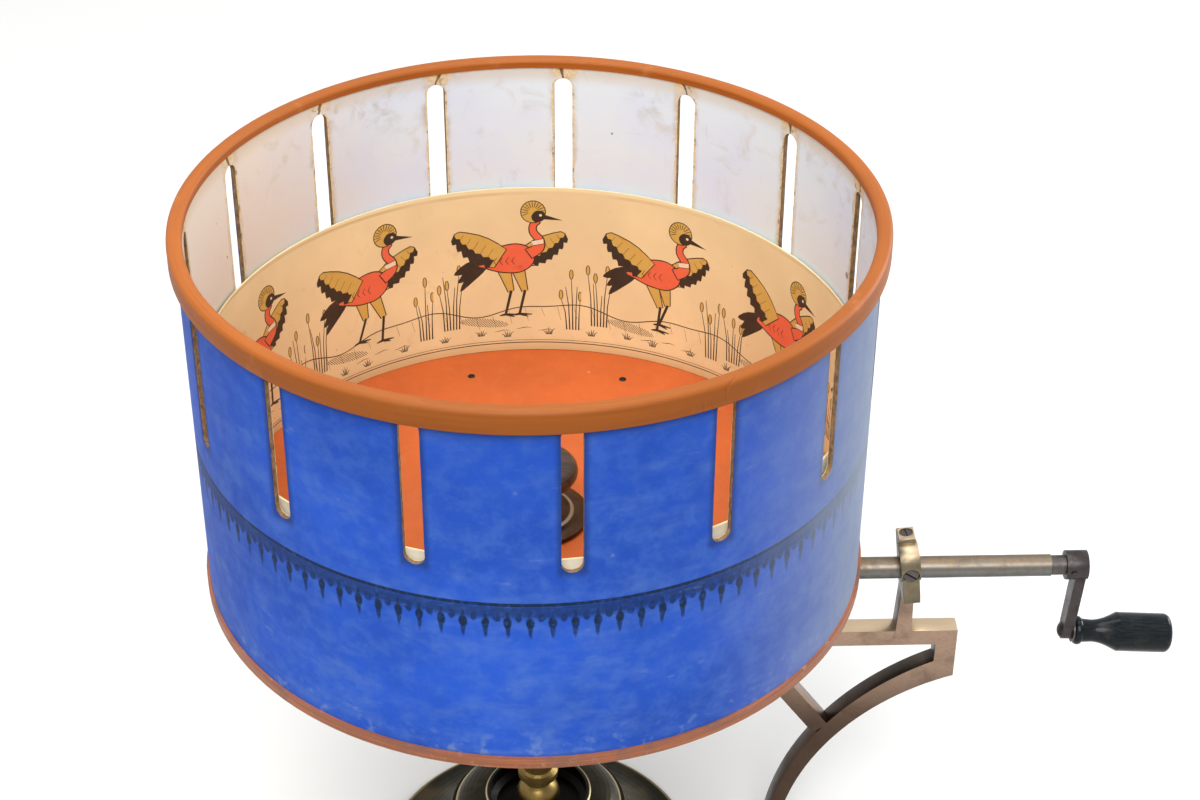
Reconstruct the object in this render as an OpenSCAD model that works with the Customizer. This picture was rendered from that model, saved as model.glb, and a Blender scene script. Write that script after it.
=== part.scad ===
// Hand-cranked zoetrope: a slotted card drum on a brass pillar, turned through a crown wheel
// and pinion by a crank on a side bracket. Origin on the drum axis at the table, +Z up,
// +X towards the crank. Lengths in millimetres, angles in degrees.

/* [Drum wall] */
// Height of the drum's lower edge above the table
drum_lift = 197; // [190:1:215]
// Radius of the drum over its outer paper
drum_r = 146.5; // [120:0.5:160]
// Height of the card wall
wall_h = 170.5; // [165:0.5:190]
// Thickness of the card of the wall
card_t = 1.9; // [1.5:0.1:3]
// Thickness of the covering and lining papers
paper_t = 0.3; // [0.2:0.05:0.5]
// How far the rim hoop stands out of the outer paper
rim_out = 3.5; // [2.5:0.1:5]
// How far the rim hoop stands inside the lining paper
rim_in = 0.7; // [0.4:0.1:1.5]
// Height of the rim hoop above the wall's top edge
rim_cap = 4.5; // [3:0.5:8]
// How far the rim hoop reaches down outside the wall
rim_skirt = 6.1; // [4:0.1:9]
// Radius of the rounding on the rim hoop's top edges
rim_round = 2.4; // [1:0.1:2.8]
// Height of the hoop round the lower edge
base_hoop_h = 5; // [3:0.5:8]
// Thickness of the hoop round the lower edge
base_hoop_t = 1.4; // [0.8:0.1:3]

/* [Viewing slots] */
// Number of viewing slots
slot_count = 15; // [11:1:17]
// Width of a slot
slot_w = 8.6; // [5:0.1:10]
// Height of the slots' lower ends above the drum's lower edge
slot_low = 98; // [92:1:110]
// Height of a slot between its round ends
slot_len = 67; // [50:1:70]
// Azimuth of the first slot
slot_phase = 155.6; // [140:0.1:170]

/* [Floor] */
// Height of the floor board's top above the drum's lower edge
floor_rise = 15.6; // [14:0.1:18]
// Thickness of the floor board
floor_t = 9.6; // [8:0.1:10.5]
// Thickness of the floor paper
floor_paper_t = 0.4; // [0.2:0.1:1]
// Number of floor nails
nail_count = 10; // [6:1:16]
// Radius of the ring of floor nails
nail_ring_r = 121; // [100:1:130]
// Radius of a nail's shank
nail_r = 0.7; // [0.5:0.1:1]
// Radius of a nail's head
nail_head_r = 1.9; // [1.5:0.1:3]
// Length of a nail's shank
nail_len = 8; // [5:0.5:9]
// Azimuth of the first nail
nail_phase = 104.5; // [80:0.5:120]

/* [Picture strip] */
// Height of the picture strip
strip_h = 92; // [70:1:92]
// Thickness of the strip's card
strip_t = 0.8; // [0.4:0.1:1.5]
// Gap between the strip and the lining paper
strip_gap = 2; // [1:0.1:3]
// Gap between the strip's two ends
strip_seam = 0.8; // [0.4:0.1:2]
// Azimuth of the strip's seam
strip_seam_az = -100; // [-170:1:170]

/* [Drum hub] */
// Radius of the hub sleeve that turns on the spindle
sleeve_r = 7; // [6.4:0.1:8]
// Radius of the sleeve's flange under the floor board
flange_r = 32; // [30:0.5:38]
// Thickness of the sleeve's flange
flange_t = 3; // [2:0.1:3.5]
// How far the sleeve reaches below its flange
sleeve_drop = 15; // [13:0.5:15.5]
// Radius of the disc on the drum's floor
disc_r = 24.4; // [20:0.1:30]
// Thickness of the disc on the drum's floor
disc_t = 5; // [4:0.5:8]
// Radius of the knob
knob_r = 19.7; // [16:0.1:24]
// Thickness of the knob's head
knob_head_h = 10; // [8:0.5:14]
// Height of the knob's neck
knob_neck_h = 16; // [12:0.5:20]
// Radius of the knob's neck at its thinnest
knob_neck_r = 9.5; // [9.5:0.1:12]

/* [Drive] */
// Distance of the crank shaft's axis below the drum's lower edge
shaft_drop = 16; // [15:0.5:18]
// Number of teeth of the crown wheel
wheel_teeth = 30; // [30:15:30]
// Number of teeth of the pinion
pinion_teeth = 15; // [15:15:15]
// Module of the teeth
tooth_module = 1.5; // [1.5:0.1:1.6]
// Width of the crown wheel's toothed ring
ring_w = 4.5; // [3.5:0.1:5]
// Thickness of the crown wheel's web
web_t = 2.5; // [2:0.1:2.6]
// Radius of the crank shaft
shaft_r = 3; // [2.5:0.1:3.4]
// Outer radius of the bearing tube
tube_r = 5.1; // [4.8:0.1:5.6]
// Distance from the drum axis to the bearing tube's outer end
tube_end_x = 238.5; // [215:0.5:260]

/* [Stand] */
// Radius of the foot on the table
foot_r = 77; // [74:1:90]
// Height of the foot up to the brass cup
foot_h = 36; // [32:1:42]
// Radius of the brass cup where it meets the foot
cup_r = 41; // [36:0.5:46]
// Radius of the cup's lip
cup_lip_r = 25.5; // [20:0.5:30]
// Height of the cup
cup_h = 10; // [8:0.5:12]
// Radius of the pillar
pillar_r = 8; // [7.8:0.1:9]
// Radius of the pillar's ball
ball_r = 10.7; // [10:0.1:12]
// Radius of the fixed spindle
spindle_r = 4; // [3:0.1:4.5]

/* [Bracket] */
// Distance from the table to the top of the bracket's bar
bar_top = 139.5; // [130:0.5:141]
// Height of the bar
bar_h = 8.5; // [7:0.1:10]
// Depth of the bracket plate
plate_t = 9.5; // [8:0.1:12]
// Distance from the drum axis to the bracket's outer end
bracket_end_x = 200; // [198:0.5:212]
// Distance from the drum axis to the outside of the leg on the table
leg_x = 118.8; // [115:0.1:124]
// Thickness of the leg on the table
leg_t = 6.7; // [6:0.1:9]
// Radius of the brace's lower curve
brace_r = 117.4; // [114:0.1:120]
// Radius of the brace's upper curve
brace_top_r = 132.5; // [130:0.1:134]

/* [Bearing clamp] */
// Distance from the drum axis to the outer bearing
clamp_x = 172.7; // [170:0.1:180]
// Width of the outer post and its strap
clamp_w = 7.7; // [6:0.1:9]
// Lean of the strap and the post's head
clamp_lean = 6.5; // [0:0.5:14]
// Radius of the strap's cap over the tube
cap_r = 9.4; // [9:0.1:11]
// Width of the strap's cap
cap_w = 9.1; // [8:0.1:10]
// Height of the strap's flat top above the tube's axis
ear_h = 15.5; // [14.5:0.1:18]
// Thickness of the strap's flat top
ear_t = 3; // [2.5:0.1:3.8]
// Distance from the drum axis to the inner bearing
inner_post_x = 62; // [50:1:90]

/* [Crank] */
// Distance between the shaft and the handle's pin
crank_reach = 39; // [32:0.5:50]
// Thickness of the crank's arm
arm_t = 4.9; // [4.5:0.1:7]
// Lean of the crank's arm towards the drum
crank_lean = 3.5; // [0:0.5:6]
// Radius of the crank's hub
hub_r = 6.85; // [6:0.05:8]
// Length of the crank's hub
hub_len = 10.1; // [9:0.1:14]
// Radius of the handle's pin
pin_r = 2.5; // [2:0.1:3]
// Length of the handle
handle_len = 46; // [42:0.5:60]
// Radius of the handle at its wide end
handle_r = 9.3; // [7:0.1:12]
// Radius of the handle's neck
handle_neck_r = 5.3; // [5.2:0.1:6.5]

/* [Fits] */
// Radial clearance between parts that turn on each other
run_fit = 0.05; // [0.03:0.01:0.08]
// Radial clearance between parts that are fixed together
fixed_fit = 0.02; // [0.01:0.01:0.04]
// Gap between end faces that turn past each other
face_gap = 0.3; // [0.15:0.05:0.5]

/* [Hidden] */
$fn = 72;
fn_drum = 240;
eps = 0.01;
cut = 1;

// Drum wall
liner_in_r = drum_r - 2 * paper_t - card_t;
card_in_r = liner_in_r + paper_t;
card_out_r = drum_r - paper_t;
wall_top_z = drum_lift + wall_h;
rim_r = drum_r + rim_out;
slot_low_z = drum_lift + slot_low;

// Floor and hub
board_top_z = drum_lift + floor_rise;
board_z = board_top_z - floor_t;
floor_z = board_top_z + floor_paper_t;
flange_z = board_z - flange_t;
web_z = flange_z - web_t;
sleeve_z = flange_z - sleeve_drop;
disc_top_z = floor_z + disc_t;
knob_top_z = disc_top_z + knob_neck_h + knob_head_h;
sleeve_top_z = disc_top_z + knob_neck_h;
flange_screw_count = 4;
flange_screw_r = 1.6;
flange_screw_head_r = 2.8;
flange_screw_head_h = 1.8;
flange_screw_len = 9;
flange_screw_ring_r = flange_r - flange_screw_head_r - 0.4;
rivet_count = 3;
rivet_r = 1.5;
rivet_head_r = 2.4;
rivet_head_h = 1;
rivet_ring_r = sleeve_r + rivet_head_r + 3;

// Gear pair
shaft_z = drum_lift - shaft_drop;
addendum = tooth_module;
dedendum = 1.2 * tooth_module;
pitch_r = pinion_teeth * tooth_module / 2;
pinion_tip_r = pitch_r + addendum;
pinion_root_r = pitch_r - dedendum;
wheel_pitch_r = wheel_teeth * tooth_module / 2;
wheel_in_r = wheel_pitch_r - ring_w / 2;
wheel_out_r = wheel_pitch_r + ring_w / 2;
circular_pitch = PI * tooth_module;
pinion_tooth_w = 0.36 * circular_pitch;
wheel_space_w = 0.66 * circular_pitch;
wheel_flank = 10;
pressure_angle = 20;
tip_z = shaft_z + pitch_r - addendum;
root_z = shaft_z + pitch_r + dedendum;
pinion_over = 0.5;
pinion_x = wheel_in_r - pinion_over;
pinion_w = ring_w + 2 * pinion_over;
boss_r = 6.2;
boss_len = 8;
boss_pin_r = 1;

// Stand
pad_t = 1;
pad_inset = 1.5;
foot_edge_h = 4;
cavity_r = cup_r - 3;
cavity_top_z = foot_h - 12;
rim_foot_w = 6;
weight_gap = 1;
weight_t = 10;
stud_r = 5;
nut_h = 4.5;
nut_r = 8;
stud_end_z = cavity_top_z - weight_t - nut_h - 1.5;
cup_wall = 1.8;
cup_floor_t = 2;
ball_up = 8;
ball_z = foot_h + ball_up;
collar_up = 21;
collar_z = foot_h + collar_up;
collar_h = 3;
collar_r = 9.75;
seat_h = 4;
seat_r = 11;
thrust_t = 1.5;
pillar_top_z = sleeve_z - face_gap / 2 - thrust_t;
spindle_sunk = 20;
spindle_top_z = sleeve_top_z - 3;

// Bracket
bar_z = bar_top - bar_h;
plate_y = tube_r - 1.1;
eye_r = pillar_r + 6;
eye_screw_r = 2;
eye_screw_head_r = 3.4;
eye_screw_head_h = 3.5;
brace_cx = leg_x + brace_r;
brace_top_cx = leg_x - leg_t + brace_top_r;
end_w = 10;
end_lap = 4.7;
end_low_z = sqrt(pow(brace_top_r, 2) - pow(brace_top_cx - bracket_end_x + end_w, 2)) - end_lap;
strut_w = 8.7;
strut_angle = 54;
strut_foot_x = leg_x + 19;
strut_foot_z = 79;

// Bearings
post_x = clamp_x + 1.3;
post_top_z = shaft_z - 15;
tenon_h = 4.5;
tenon_flare = 0.9;
post_taper = 1.3;
cap_lift = 3.8;
cap_low = 3.6;
ear_front_y = plate_y - 3.2;
ear_back_y = plate_y + plate_t - 3.2;
lug_front_y = plate_y - 11.9;
lug_bend = 11;
lug_low = 16.2;
lug_slope = 1.2;
ear_screw_r = 1.5;
ear_screw_head_r = 3.1;
ear_screw_head_h = 1.8;
ear_screw_sink = 0.3;
ear_screw_y = plate_y + 2.5;
ear_screw_in = 5;
cap_seat_y = lug_front_y + 0.9;
cap_screw_up = 1.5;
cap_screw_r = 2.2;
cap_screw_head_r = 3.35;
cap_screw_head_h = 1.9;
cap_screw_gap = 0.5;
slot_cut_w = 0.9;
slot_cut_d = 0.9;
ear_slot_turn = 85;
cap_slot_turn = 40;
eye_slot_turn = 20;
eye_bearing_r = tube_r + 4;
eye_bearing_w = 11;
tube_x = pinion_x + pinion_w + boss_len + face_gap;

// Crank
collar_x = tube_end_x + face_gap;
shaft_collar_r = 4.6;
shaft_collar_len = 6.5;
hub_x = collar_x + shaft_collar_len;
shaft_x = pinion_x;
arm_x = hub_x + hub_len - arm_t / 2 - 0.2;
arm_half_w = 4.6;
arm_end_r = 4.2;
crank_pin_r = 1.25;
crank_pin_x = hub_x + 3.2;
rivet_dome_r = 3.9;
rivet_dome_h = 1.9;
washer_t = 0.8;
washer_r = 5.6;
handle_x = arm_t / 2 + washer_t + face_gap / 2;
bead_r = 6.85;
bead_len = 3.6;
flare_x = 8.5;
wide_x = 20.5;
end_round = 3;
recess_r = 5;
recess_d = 3;
end_washer_t = 0.9;
end_washer_r = 4.4;
pin_end_x = handle_x + handle_len - 0.6;

// A ring about the Z axis
module ring(outer, inner, low, high, fn = $fn) {
    difference() {
        translate([0, 0, low]) cylinder(r = outer, h = high - low, $fn = fn);
        translate([0, 0, low - cut]) cylinder(r = inner, h = high - low + 2 * cut, $fn = fn);
    }
}

// A cylinder along X from x = from
module rod_x(r, from, len) {
    translate([from, 0, 0]) rotate([0, 90, 0]) cylinder(r = r, h = len);
}

// A cylinder along Y from y = from
module rod_y(r, from, len) {
    translate([0, from, 0]) rotate([-90, 0, 0]) cylinder(r = r, h = len);
}

// A profile drawn in Y and Z, extruded along X about x = 0
module slab_x(w) {
    rotate([90, 0, 90]) translate([0, 0, -w / 2]) linear_extrude(height = w) children();
}

// A profile drawn in X and Z, extruded along Y from y = from
module plate_xz(from, t) {
    translate([0, from + t, 0]) rotate([90, 0, 0]) linear_extrude(height = t) children();
}

// Places its children on the shaft's axis
module at_shaft() {
    translate([0, 0, shaft_z]) children();
}

// Places its children at the outer bearing, leaning with the clamp
module at_clamp() {
    translate([clamp_x, 0, shaft_z]) rotate([0, -clamp_lean, 0]) children();
}

// Places its children at the handle's pin, with its axis along X
module at_handle() {
    translate([arm_x, 0, shaft_z]) rotate([0, crank_lean, 0]) translate([0, 0, -crank_reach]) children();
}

// ---- Drum ----

// The cuts of all viewing slots, from radius 'from' outwards
module slot_cuts(from) {
    reach = drum_r + cut - from;
    for (i = [0 : slot_count - 1])
        rotate([0, 0, slot_phase - i * 360 / slot_count]) translate([0, 0, slot_low_z]) {
            translate([from, -slot_w / 2, slot_w / 2]) cube([reach, slot_w, slot_len - slot_w]);
            translate([0, 0, slot_w / 2]) rod_x(slot_w / 2, from, reach);
            translate([0, 0, slot_len - slot_w / 2]) rod_x(slot_w / 2, from, reach);
        }
}

// One layer of the slotted wall
module wall_layer(outer, inner) {
    difference() {
        ring(outer, inner, drum_lift, wall_top_z, fn_drum);
        slot_cuts(inner - cut);
    }
}

module drum_wall() {
    color("burlywood") wall_layer(card_out_r, card_in_r);
}

module outer_paper() {
    color("royalblue") wall_layer(drum_r, card_out_r);
}

module inner_lining() {
    color("lavender") wall_layer(card_in_r, liner_in_r);
}

// The hoop wraps the wall's top edge and is rounded on top
module rim_hoop() {
    inner = liner_in_r - rim_in;
    width = rim_r - inner;
    top = wall_top_z + rim_cap;
    round_z = top - rim_round;
    color("chocolate") rotate_extrude($fn = fn_drum) union() {
        translate([drum_r, wall_top_z - rim_skirt]) square([rim_out, rim_skirt + rim_cap - rim_round]);
        translate([inner, wall_top_z]) square([width, rim_cap - rim_round]);
        translate([inner + rim_round, wall_top_z]) square([width - 2 * rim_round, rim_cap]);
        intersection() {
            translate([inner, round_z]) square([width, rim_round]);
            union() {
                translate([inner + rim_round, round_z]) circle(r = rim_round, $fn = 32);
                translate([rim_r - rim_round, round_z]) circle(r = rim_round, $fn = 32);
            }
        }
    }
}

module base_hoop() {
    color("peru") ring(drum_r + base_hoop_t, drum_r, drum_lift, drum_lift + base_hoop_h, fn_drum);
}

// Places its children at each floor nail
module at_nails() {
    for (i = [0 : nail_count - 1])
        rotate([0, 0, nail_phase - i * 360 / nail_count]) translate([nail_ring_r, 0, 0]) children();
}

// Places its children at each screw of the sleeve's flange
module at_flange_screws() {
    for (i = [0 : flange_screw_count - 1])
        rotate([0, 0, 45 + i * 360 / flange_screw_count]) translate([flange_screw_ring_r, 0, 0]) children();
}

module floor_board() {
    color("tan") difference() {
        ring(liner_in_r, sleeve_r + fixed_fit, board_z, board_top_z, fn_drum);
        at_nails() translate([0, 0, floor_z - nail_len - cut])
            cylinder(r = nail_r + fixed_fit, h = nail_len + 2 * cut);
        at_flange_screws() translate([0, 0, flange_z])
            cylinder(r = flange_screw_r + fixed_fit, h = flange_screw_len + cut);
    }
}

module floor_paper() {
    color("orangered") difference() {
        ring(liner_in_r - fixed_fit, sleeve_r + fixed_fit, board_top_z, floor_z, fn_drum);
        at_nails() translate([0, 0, board_top_z - cut])
            cylinder(r = nail_r + fixed_fit, h = floor_paper_t + 2 * cut);
    }
}

module floor_nails() {
    color("dimgray") at_nails() {
        translate([0, 0, floor_z - nail_len]) cylinder(r = nail_r, h = nail_len + eps);
        translate([0, 0, floor_z]) intersection() {
            translate([0, 0, -nail_head_r]) sphere(r = nail_head_r * sqrt(2), $fn = 32);
            cylinder(r = nail_head_r, h = nail_head_r);
        }
    }
}

// The strip stands loose on the floor, with a seam between its ends
module picture_strip() {
    outer = liner_in_r - strip_gap;
    low = floor_z + face_gap;
    color("wheat") difference() {
        ring(outer, outer - strip_t, low, low + strip_h, fn_drum);
        rotate([0, 0, strip_seam_az]) translate([outer - strip_t - cut, -strip_seam / 2, low - cut])
            cube([strip_t + 2 * cut, strip_seam, strip_h + 2 * cut]);
    }
}

// ---- Drum hub ----

module hub_disc() {
    bore = sleeve_r + fixed_fit;
    bead = 0.66 * disc_r;
    color("saddlebrown") rotate_extrude($fn = 120) polygon([
        [bore, floor_z], [disc_r - 3.2, floor_z], [disc_r - 3.2, floor_z + 1.2],
        [disc_r, floor_z + 1.2], [disc_r, disc_top_z - 2], [disc_r - 4, disc_top_z - 0.6],
        [bead + 1.6, disc_top_z - 0.6], [bead + 0.6, disc_top_z], [bore, disc_top_z]]);
}

// A turned knob: a curved neck under a flat head with a round edge
module drum_knob() {
    neck_top = disc_top_z + knob_neck_h;
    foot = knob_neck_r + 2.5;
    edge = knob_head_h / 2;
    steps = 8;
    neck = [for (i = [0 : steps]) let (t = i / steps)
        [knob_neck_r + (foot - knob_neck_r) * pow(2 * t - 1, 2), disc_top_z + knob_neck_h * t]];
    head = [for (i = [0 : steps]) let (a = -90 + 180 * i / steps)
        [knob_r - edge * 0.8 + edge * 0.8 * cos(a), neck_top + edge + edge * sin(a) * 0.86]];
    color("sienna") difference() {
        rotate_extrude($fn = 96) polygon(concat([[0, disc_top_z]], neck, head,
            [[knob_r * 0.35, knob_top_z], [0, knob_top_z]]));
        translate([0, 0, disc_top_z - cut])
            cylinder(r = sleeve_r + fixed_fit, h = knob_neck_h + cut);
    }
}

// The sleeve turns on the spindle and carries the floor board on its flange
module hub_sleeve() {
    color("goldenrod") difference() {
        union() {
            translate([0, 0, sleeve_z]) cylinder(r = sleeve_r, h = sleeve_top_z - sleeve_z);
            translate([0, 0, flange_z]) cylinder(r = flange_r, h = flange_t);
        }
        translate([0, 0, sleeve_z - cut])
            cylinder(r = spindle_r + run_fit, h = sleeve_top_z - sleeve_z + 2 * cut);
        at_flange_screws() translate([0, 0, flange_z - cut])
            cylinder(r = flange_screw_r + fixed_fit, h = flange_t + 2 * cut);
        at_rivets() translate([0, 0, flange_z - cut])
            cylinder(r = rivet_r + fixed_fit, h = flange_t + 2 * cut);
    }
}

module sleeve_screws() {
    color("gray") at_flange_screws() difference() {
        union() {
            translate([0, 0, flange_z - flange_screw_head_h])
                cylinder(r = flange_screw_head_r, h = flange_screw_head_h);
            translate([0, 0, flange_z - eps]) cylinder(r = flange_screw_r, h = flange_screw_len);
        }
        translate([-flange_screw_head_r - cut, -slot_cut_w / 2, flange_z - flange_screw_head_h - cut])
            cube([2 * flange_screw_head_r + 2 * cut, slot_cut_w, slot_cut_d + cut]);
    }
}

// Places its children at each rivet of the crown wheel
module at_rivets() {
    for (i = [0 : rivet_count - 1])
        rotate([0, 0, i * 360 / rivet_count]) translate([rivet_ring_r, 0, 0]) children();
}

// A contrate wheel: a web under the flange and a ring with teeth facing down
module crown_wheel() {
    widen = tan(wheel_flank);
    space = [[-wheel_space_w / 2 - widen * (addendum + cut), tip_z - cut],
        [wheel_space_w / 2 + widen * (addendum + cut), tip_z - cut],
        [wheel_space_w / 2 - widen * dedendum, root_z],
        [-wheel_space_w / 2 + widen * dedendum, root_z]];
    color("gold") difference() {
        union() {
            ring(wheel_out_r, sleeve_r + fixed_fit, web_z, flange_z, 120);
            ring(wheel_out_r, wheel_in_r, tip_z, web_z + eps, 120);
        }
        for (i = [0 : wheel_teeth - 1])
            rotate([0, 0, i * 360 / wheel_teeth]) translate([wheel_pitch_r, 0, 0])
                slab_x(ring_w + 2 * cut) polygon(space);
        at_rivets() translate([0, 0, web_z - cut])
            cylinder(r = rivet_r + fixed_fit, h = web_t + 2 * cut);
    }
}

module wheel_rivets() {
    color("darkgoldenrod") at_rivets() {
        translate([0, 0, web_z - rivet_head_h]) cylinder(r = rivet_head_r, h = rivet_head_h);
        translate([0, 0, web_z - eps]) cylinder(r = rivet_r, h = web_t + flange_t + eps);
    }
}

// ---- Stand ----

// A spun bell foot, hollow underneath
module base_foot() {
    edge_z = pad_t + foot_edge_h;
    neck_r = cup_r + 2;
    sweep_r = foot_r - 3 - neck_r;
    sweep_h = foot_h - 3 - edge_z - 1;
    steps = 14;
    sweep = [for (i = [0 : steps]) let (a = 90 * i / steps)
        [foot_r - 3 - sweep_r * sin(a), edge_z + 1 + sweep_h * (1 - cos(a))]];
    color("darkolivegreen") rotate_extrude($fn = 144) polygon(concat(
        [[stud_r + fixed_fit, cavity_top_z], [cavity_r, cavity_top_z], [cavity_r + 6, cavity_top_z / 2],
        [foot_r - 17, pad_t + 3], [foot_r - rim_foot_w, pad_t + 2], [foot_r - rim_foot_w, pad_t],
        [foot_r - 1, pad_t], [foot_r, pad_t + 1], [foot_r, edge_z - 1],
        [foot_r - 1, edge_z], [foot_r - 3, edge_z]], sweep,
        [[neck_r + 0.6, foot_h - 2], [neck_r, foot_h], [stud_r + fixed_fit, foot_h]]));
}

// The cup rises from the foot to a thin lip round a deep well
module brass_cup() {
    steps = 8;
    top = foot_h + cup_h;
    lip_in_r = cup_lip_r - cup_wall;
    shell = [for (i = [0 : steps]) let (a = 90 * i / steps)
        [cup_lip_r + (cup_r - 1 - cup_lip_r) * cos(a), foot_h + 1.5 + (cup_h - 2.5) * sin(a)]];
    color("darkgoldenrod") rotate_extrude($fn = 120) polygon(concat(
        [[stud_r + fixed_fit, foot_h], [cup_r, foot_h], [cup_r, foot_h + 1.5]], shell,
        [[cup_lip_r + 0.5, top - 0.6], [cup_lip_r, top], [lip_in_r, top], [lip_in_r, foot_h + 4],
        [lip_in_r - 3, foot_h + cup_floor_t], [stud_r + fixed_fit, foot_h + cup_floor_t]]));
}

module base_weight() {
    color("darkslategray") ring(cavity_r - weight_gap, stud_r + fixed_fit,
        cavity_top_z - weight_t, cavity_top_z, 120);
}

module base_pad() {
    color("seagreen") cylinder(r = foot_r - pad_inset, h = pad_t, $fn = 144);
}

// Turned from one bar: stud, ball, collar, column, bracket seat and spindle socket
module pillar() {
    low = foot_h + cup_floor_t;
    steps = 12;
    low_angle = asin(max(-0.95, (low - ball_z) / ball_r));
    high_angle = 52;
    ball = [for (i = [0 : steps]) let (a = low_angle + (high_angle - low_angle) * i / steps)
        [ball_r * cos(a), ball_z + ball_r * sin(a)]];
    color("darkgoldenrod") difference() {
        rotate_extrude($fn = 72) polygon(concat([[0, stud_end_z], [stud_r, stud_end_z], [stud_r, low]], ball,
            [[pillar_r - 1.6, collar_z - 2.6], [collar_r - 1, collar_z - 1], [collar_r, collar_z],
            [collar_r, collar_z + collar_h], [collar_r - 1.2, collar_z + collar_h + 0.8],
            [pillar_r - 0.6, collar_z + collar_h + 2], [pillar_r, collar_z + collar_h + 8],
            [pillar_r, bar_z - seat_h - 2], [seat_r, bar_z - seat_h], [seat_r, bar_z],
            [pillar_r, bar_z], [pillar_r, pillar_top_z], [0, pillar_top_z]]));
        translate([0, 0, pillar_top_z - spindle_sunk])
            cylinder(r = spindle_r + fixed_fit, h = spindle_sunk + cut);
    }
}

module pillar_nut() {
    top = cavity_top_z - weight_t;
    color("dimgray") difference() {
        translate([0, 0, top - nut_h]) cylinder(r = nut_r, h = nut_h, $fn = 6);
        translate([0, 0, top - nut_h - cut]) cylinder(r = stud_r + fixed_fit, h = nut_h + 2 * cut);
    }
}

module spindle() {
    low = pillar_top_z - spindle_sunk;
    color("lightgray") {
        translate([0, 0, low]) cylinder(r = spindle_r, h = spindle_top_z - 1 - low);
        translate([0, 0, spindle_top_z - 1 - eps]) cylinder(r1 = spindle_r, r2 = spindle_r - 1, h = 1);
    }
}

module thrust_washer() {
    color("peru") ring(sleeve_r, spindle_r + run_fit, pillar_top_z, pillar_top_z + thrust_t);
}

// ---- Bracket and bearings ----

// The outline of the bar, end, curved brace with its leg, and strut, in X and Z
module bracket_outline() {
    translate([pillar_r + 2, bar_z]) square([bracket_end_x - pillar_r - 2, bar_h]);
    difference() {
        translate([bracket_end_x - end_w, end_low_z]) square([end_w, bar_z + 1 - end_low_z]);
        translate([brace_cx, 0]) circle(r = brace_r, $fn = fn_drum);
    }
    difference() {
        intersection() {
            translate([brace_top_cx, 0]) circle(r = brace_top_r, $fn = fn_drum);
            square([bracket_end_x, bar_z + 1]);
        }
        translate([brace_cx, 0]) circle(r = brace_r, $fn = fn_drum);
    }
    intersection() {
        translate([strut_foot_x, strut_foot_z]) rotate(180 - strut_angle)
            translate([0, -strut_w / 2]) square([bar_z, strut_w]);
        square([bracket_end_x, bar_z + 1]);
    }
}

// Bracket with an eye round the pillar and a notch for the outer post's tenon
module bracket() {
    color("silver") difference() {
        union() {
            plate_xz(plate_y, plate_t) bracket_outline();
            translate([0, 0, bar_z]) cylinder(r = eye_r, h = bar_h);
        }
        translate([0, 0, bar_z - cut]) cylinder(r = pillar_r + fixed_fit, h = bar_h + 2 * cut);
        plate_xz(plate_y - cut, plate_t + 2 * cut) tenon_outline(cut);
        translate([0, 0, bar_z + bar_h / 2])
            rod_x(eye_screw_r + fixed_fit, -eye_r - cut, eye_r - pillar_r + 2 * cut);
    }
}

module bracket_screw() {
    color("gray") translate([0, 0, bar_z + bar_h / 2]) difference() {
        union() {
            rod_x(eye_screw_r, -eye_r - eps, eye_r - pillar_r - fixed_fit);
            rod_x(eye_screw_head_r, -eye_r - eye_screw_head_h, eye_screw_head_h);
        }
        translate([-eye_r - eye_screw_head_h - cut, -slot_cut_w / 2, -eye_screw_head_r - cut])
            cube([slot_cut_d + cut, slot_cut_w, 2 * eye_screw_head_r + 2 * cut]);
    }
}

// The dovetailed foot of the outer post in the bar, in X and Z
module tenon_outline(over) {
    half = clamp_w / 2;
    foot = half + tenon_flare;
    polygon([[post_x - foot, bar_top - tenon_h], [post_x + foot, bar_top - tenon_h],
        [post_x + half, bar_top], [post_x + half, bar_top + over],
        [post_x - half, bar_top + over], [post_x - half, bar_top]]);
}

// The post's side view: it stands in the bar, narrows upwards and its head leans with the strap
module post_outline() {
    half = clamp_w / 2;
    foot = half + tenon_flare;
    polygon([[post_x - foot, bar_top - tenon_h], [post_x + foot, bar_top - tenon_h],
        [post_x + half, bar_top], [post_x + half - post_taper / 2, post_top_z],
        [post_x - half + post_taper, post_top_z], [post_x - half, bar_top]]);
    translate([clamp_x, shaft_z]) rotate(clamp_lean) translate([-half, -lug_low])
        square([clamp_w, ear_h - ear_t + lug_low]);
}

module outer_post() {
    color("silver") difference() {
        plate_xz(plate_y, plate_t) post_outline();
        at_shaft() rod_x(tube_r + fixed_fit, clamp_x - 2 * clamp_w, 4 * clamp_w);
        at_clamp() translate([0, ear_screw_y, ear_h - ear_t - ear_screw_in - cut])
            cylinder(r = ear_screw_r + fixed_fit, h = ear_screw_in + 2 * cut);
    }
}

// The strap's cap in Y and Z about the tube's axis: it bulges in front of the tube
module cap_outline() {
    intersection() {
        translate([0, cap_lift]) circle(r = cap_r, $fn = 96);
        polygon([[-2 * cap_r, -cap_low], [0, -cap_low], [0, 0], [plate_y, 0], [plate_y, 2 * cap_r],
            [-2 * cap_r, 2 * cap_r]]);
    }
}

// The strap's flat top and its lug below the tube, in Y and Z
module ear_outline() {
    translate([ear_front_y, ear_h - ear_t]) square([ear_back_y - ear_front_y, ear_t]);
    translate([ear_front_y, 0]) square([plate_y - ear_front_y, ear_h]);
    polygon([[plate_y, 0], [lug_front_y, 0], [lug_front_y, -lug_bend], [lug_front_y + lug_slope, -lug_low],
        [plate_y, -lug_low]]);
}

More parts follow.
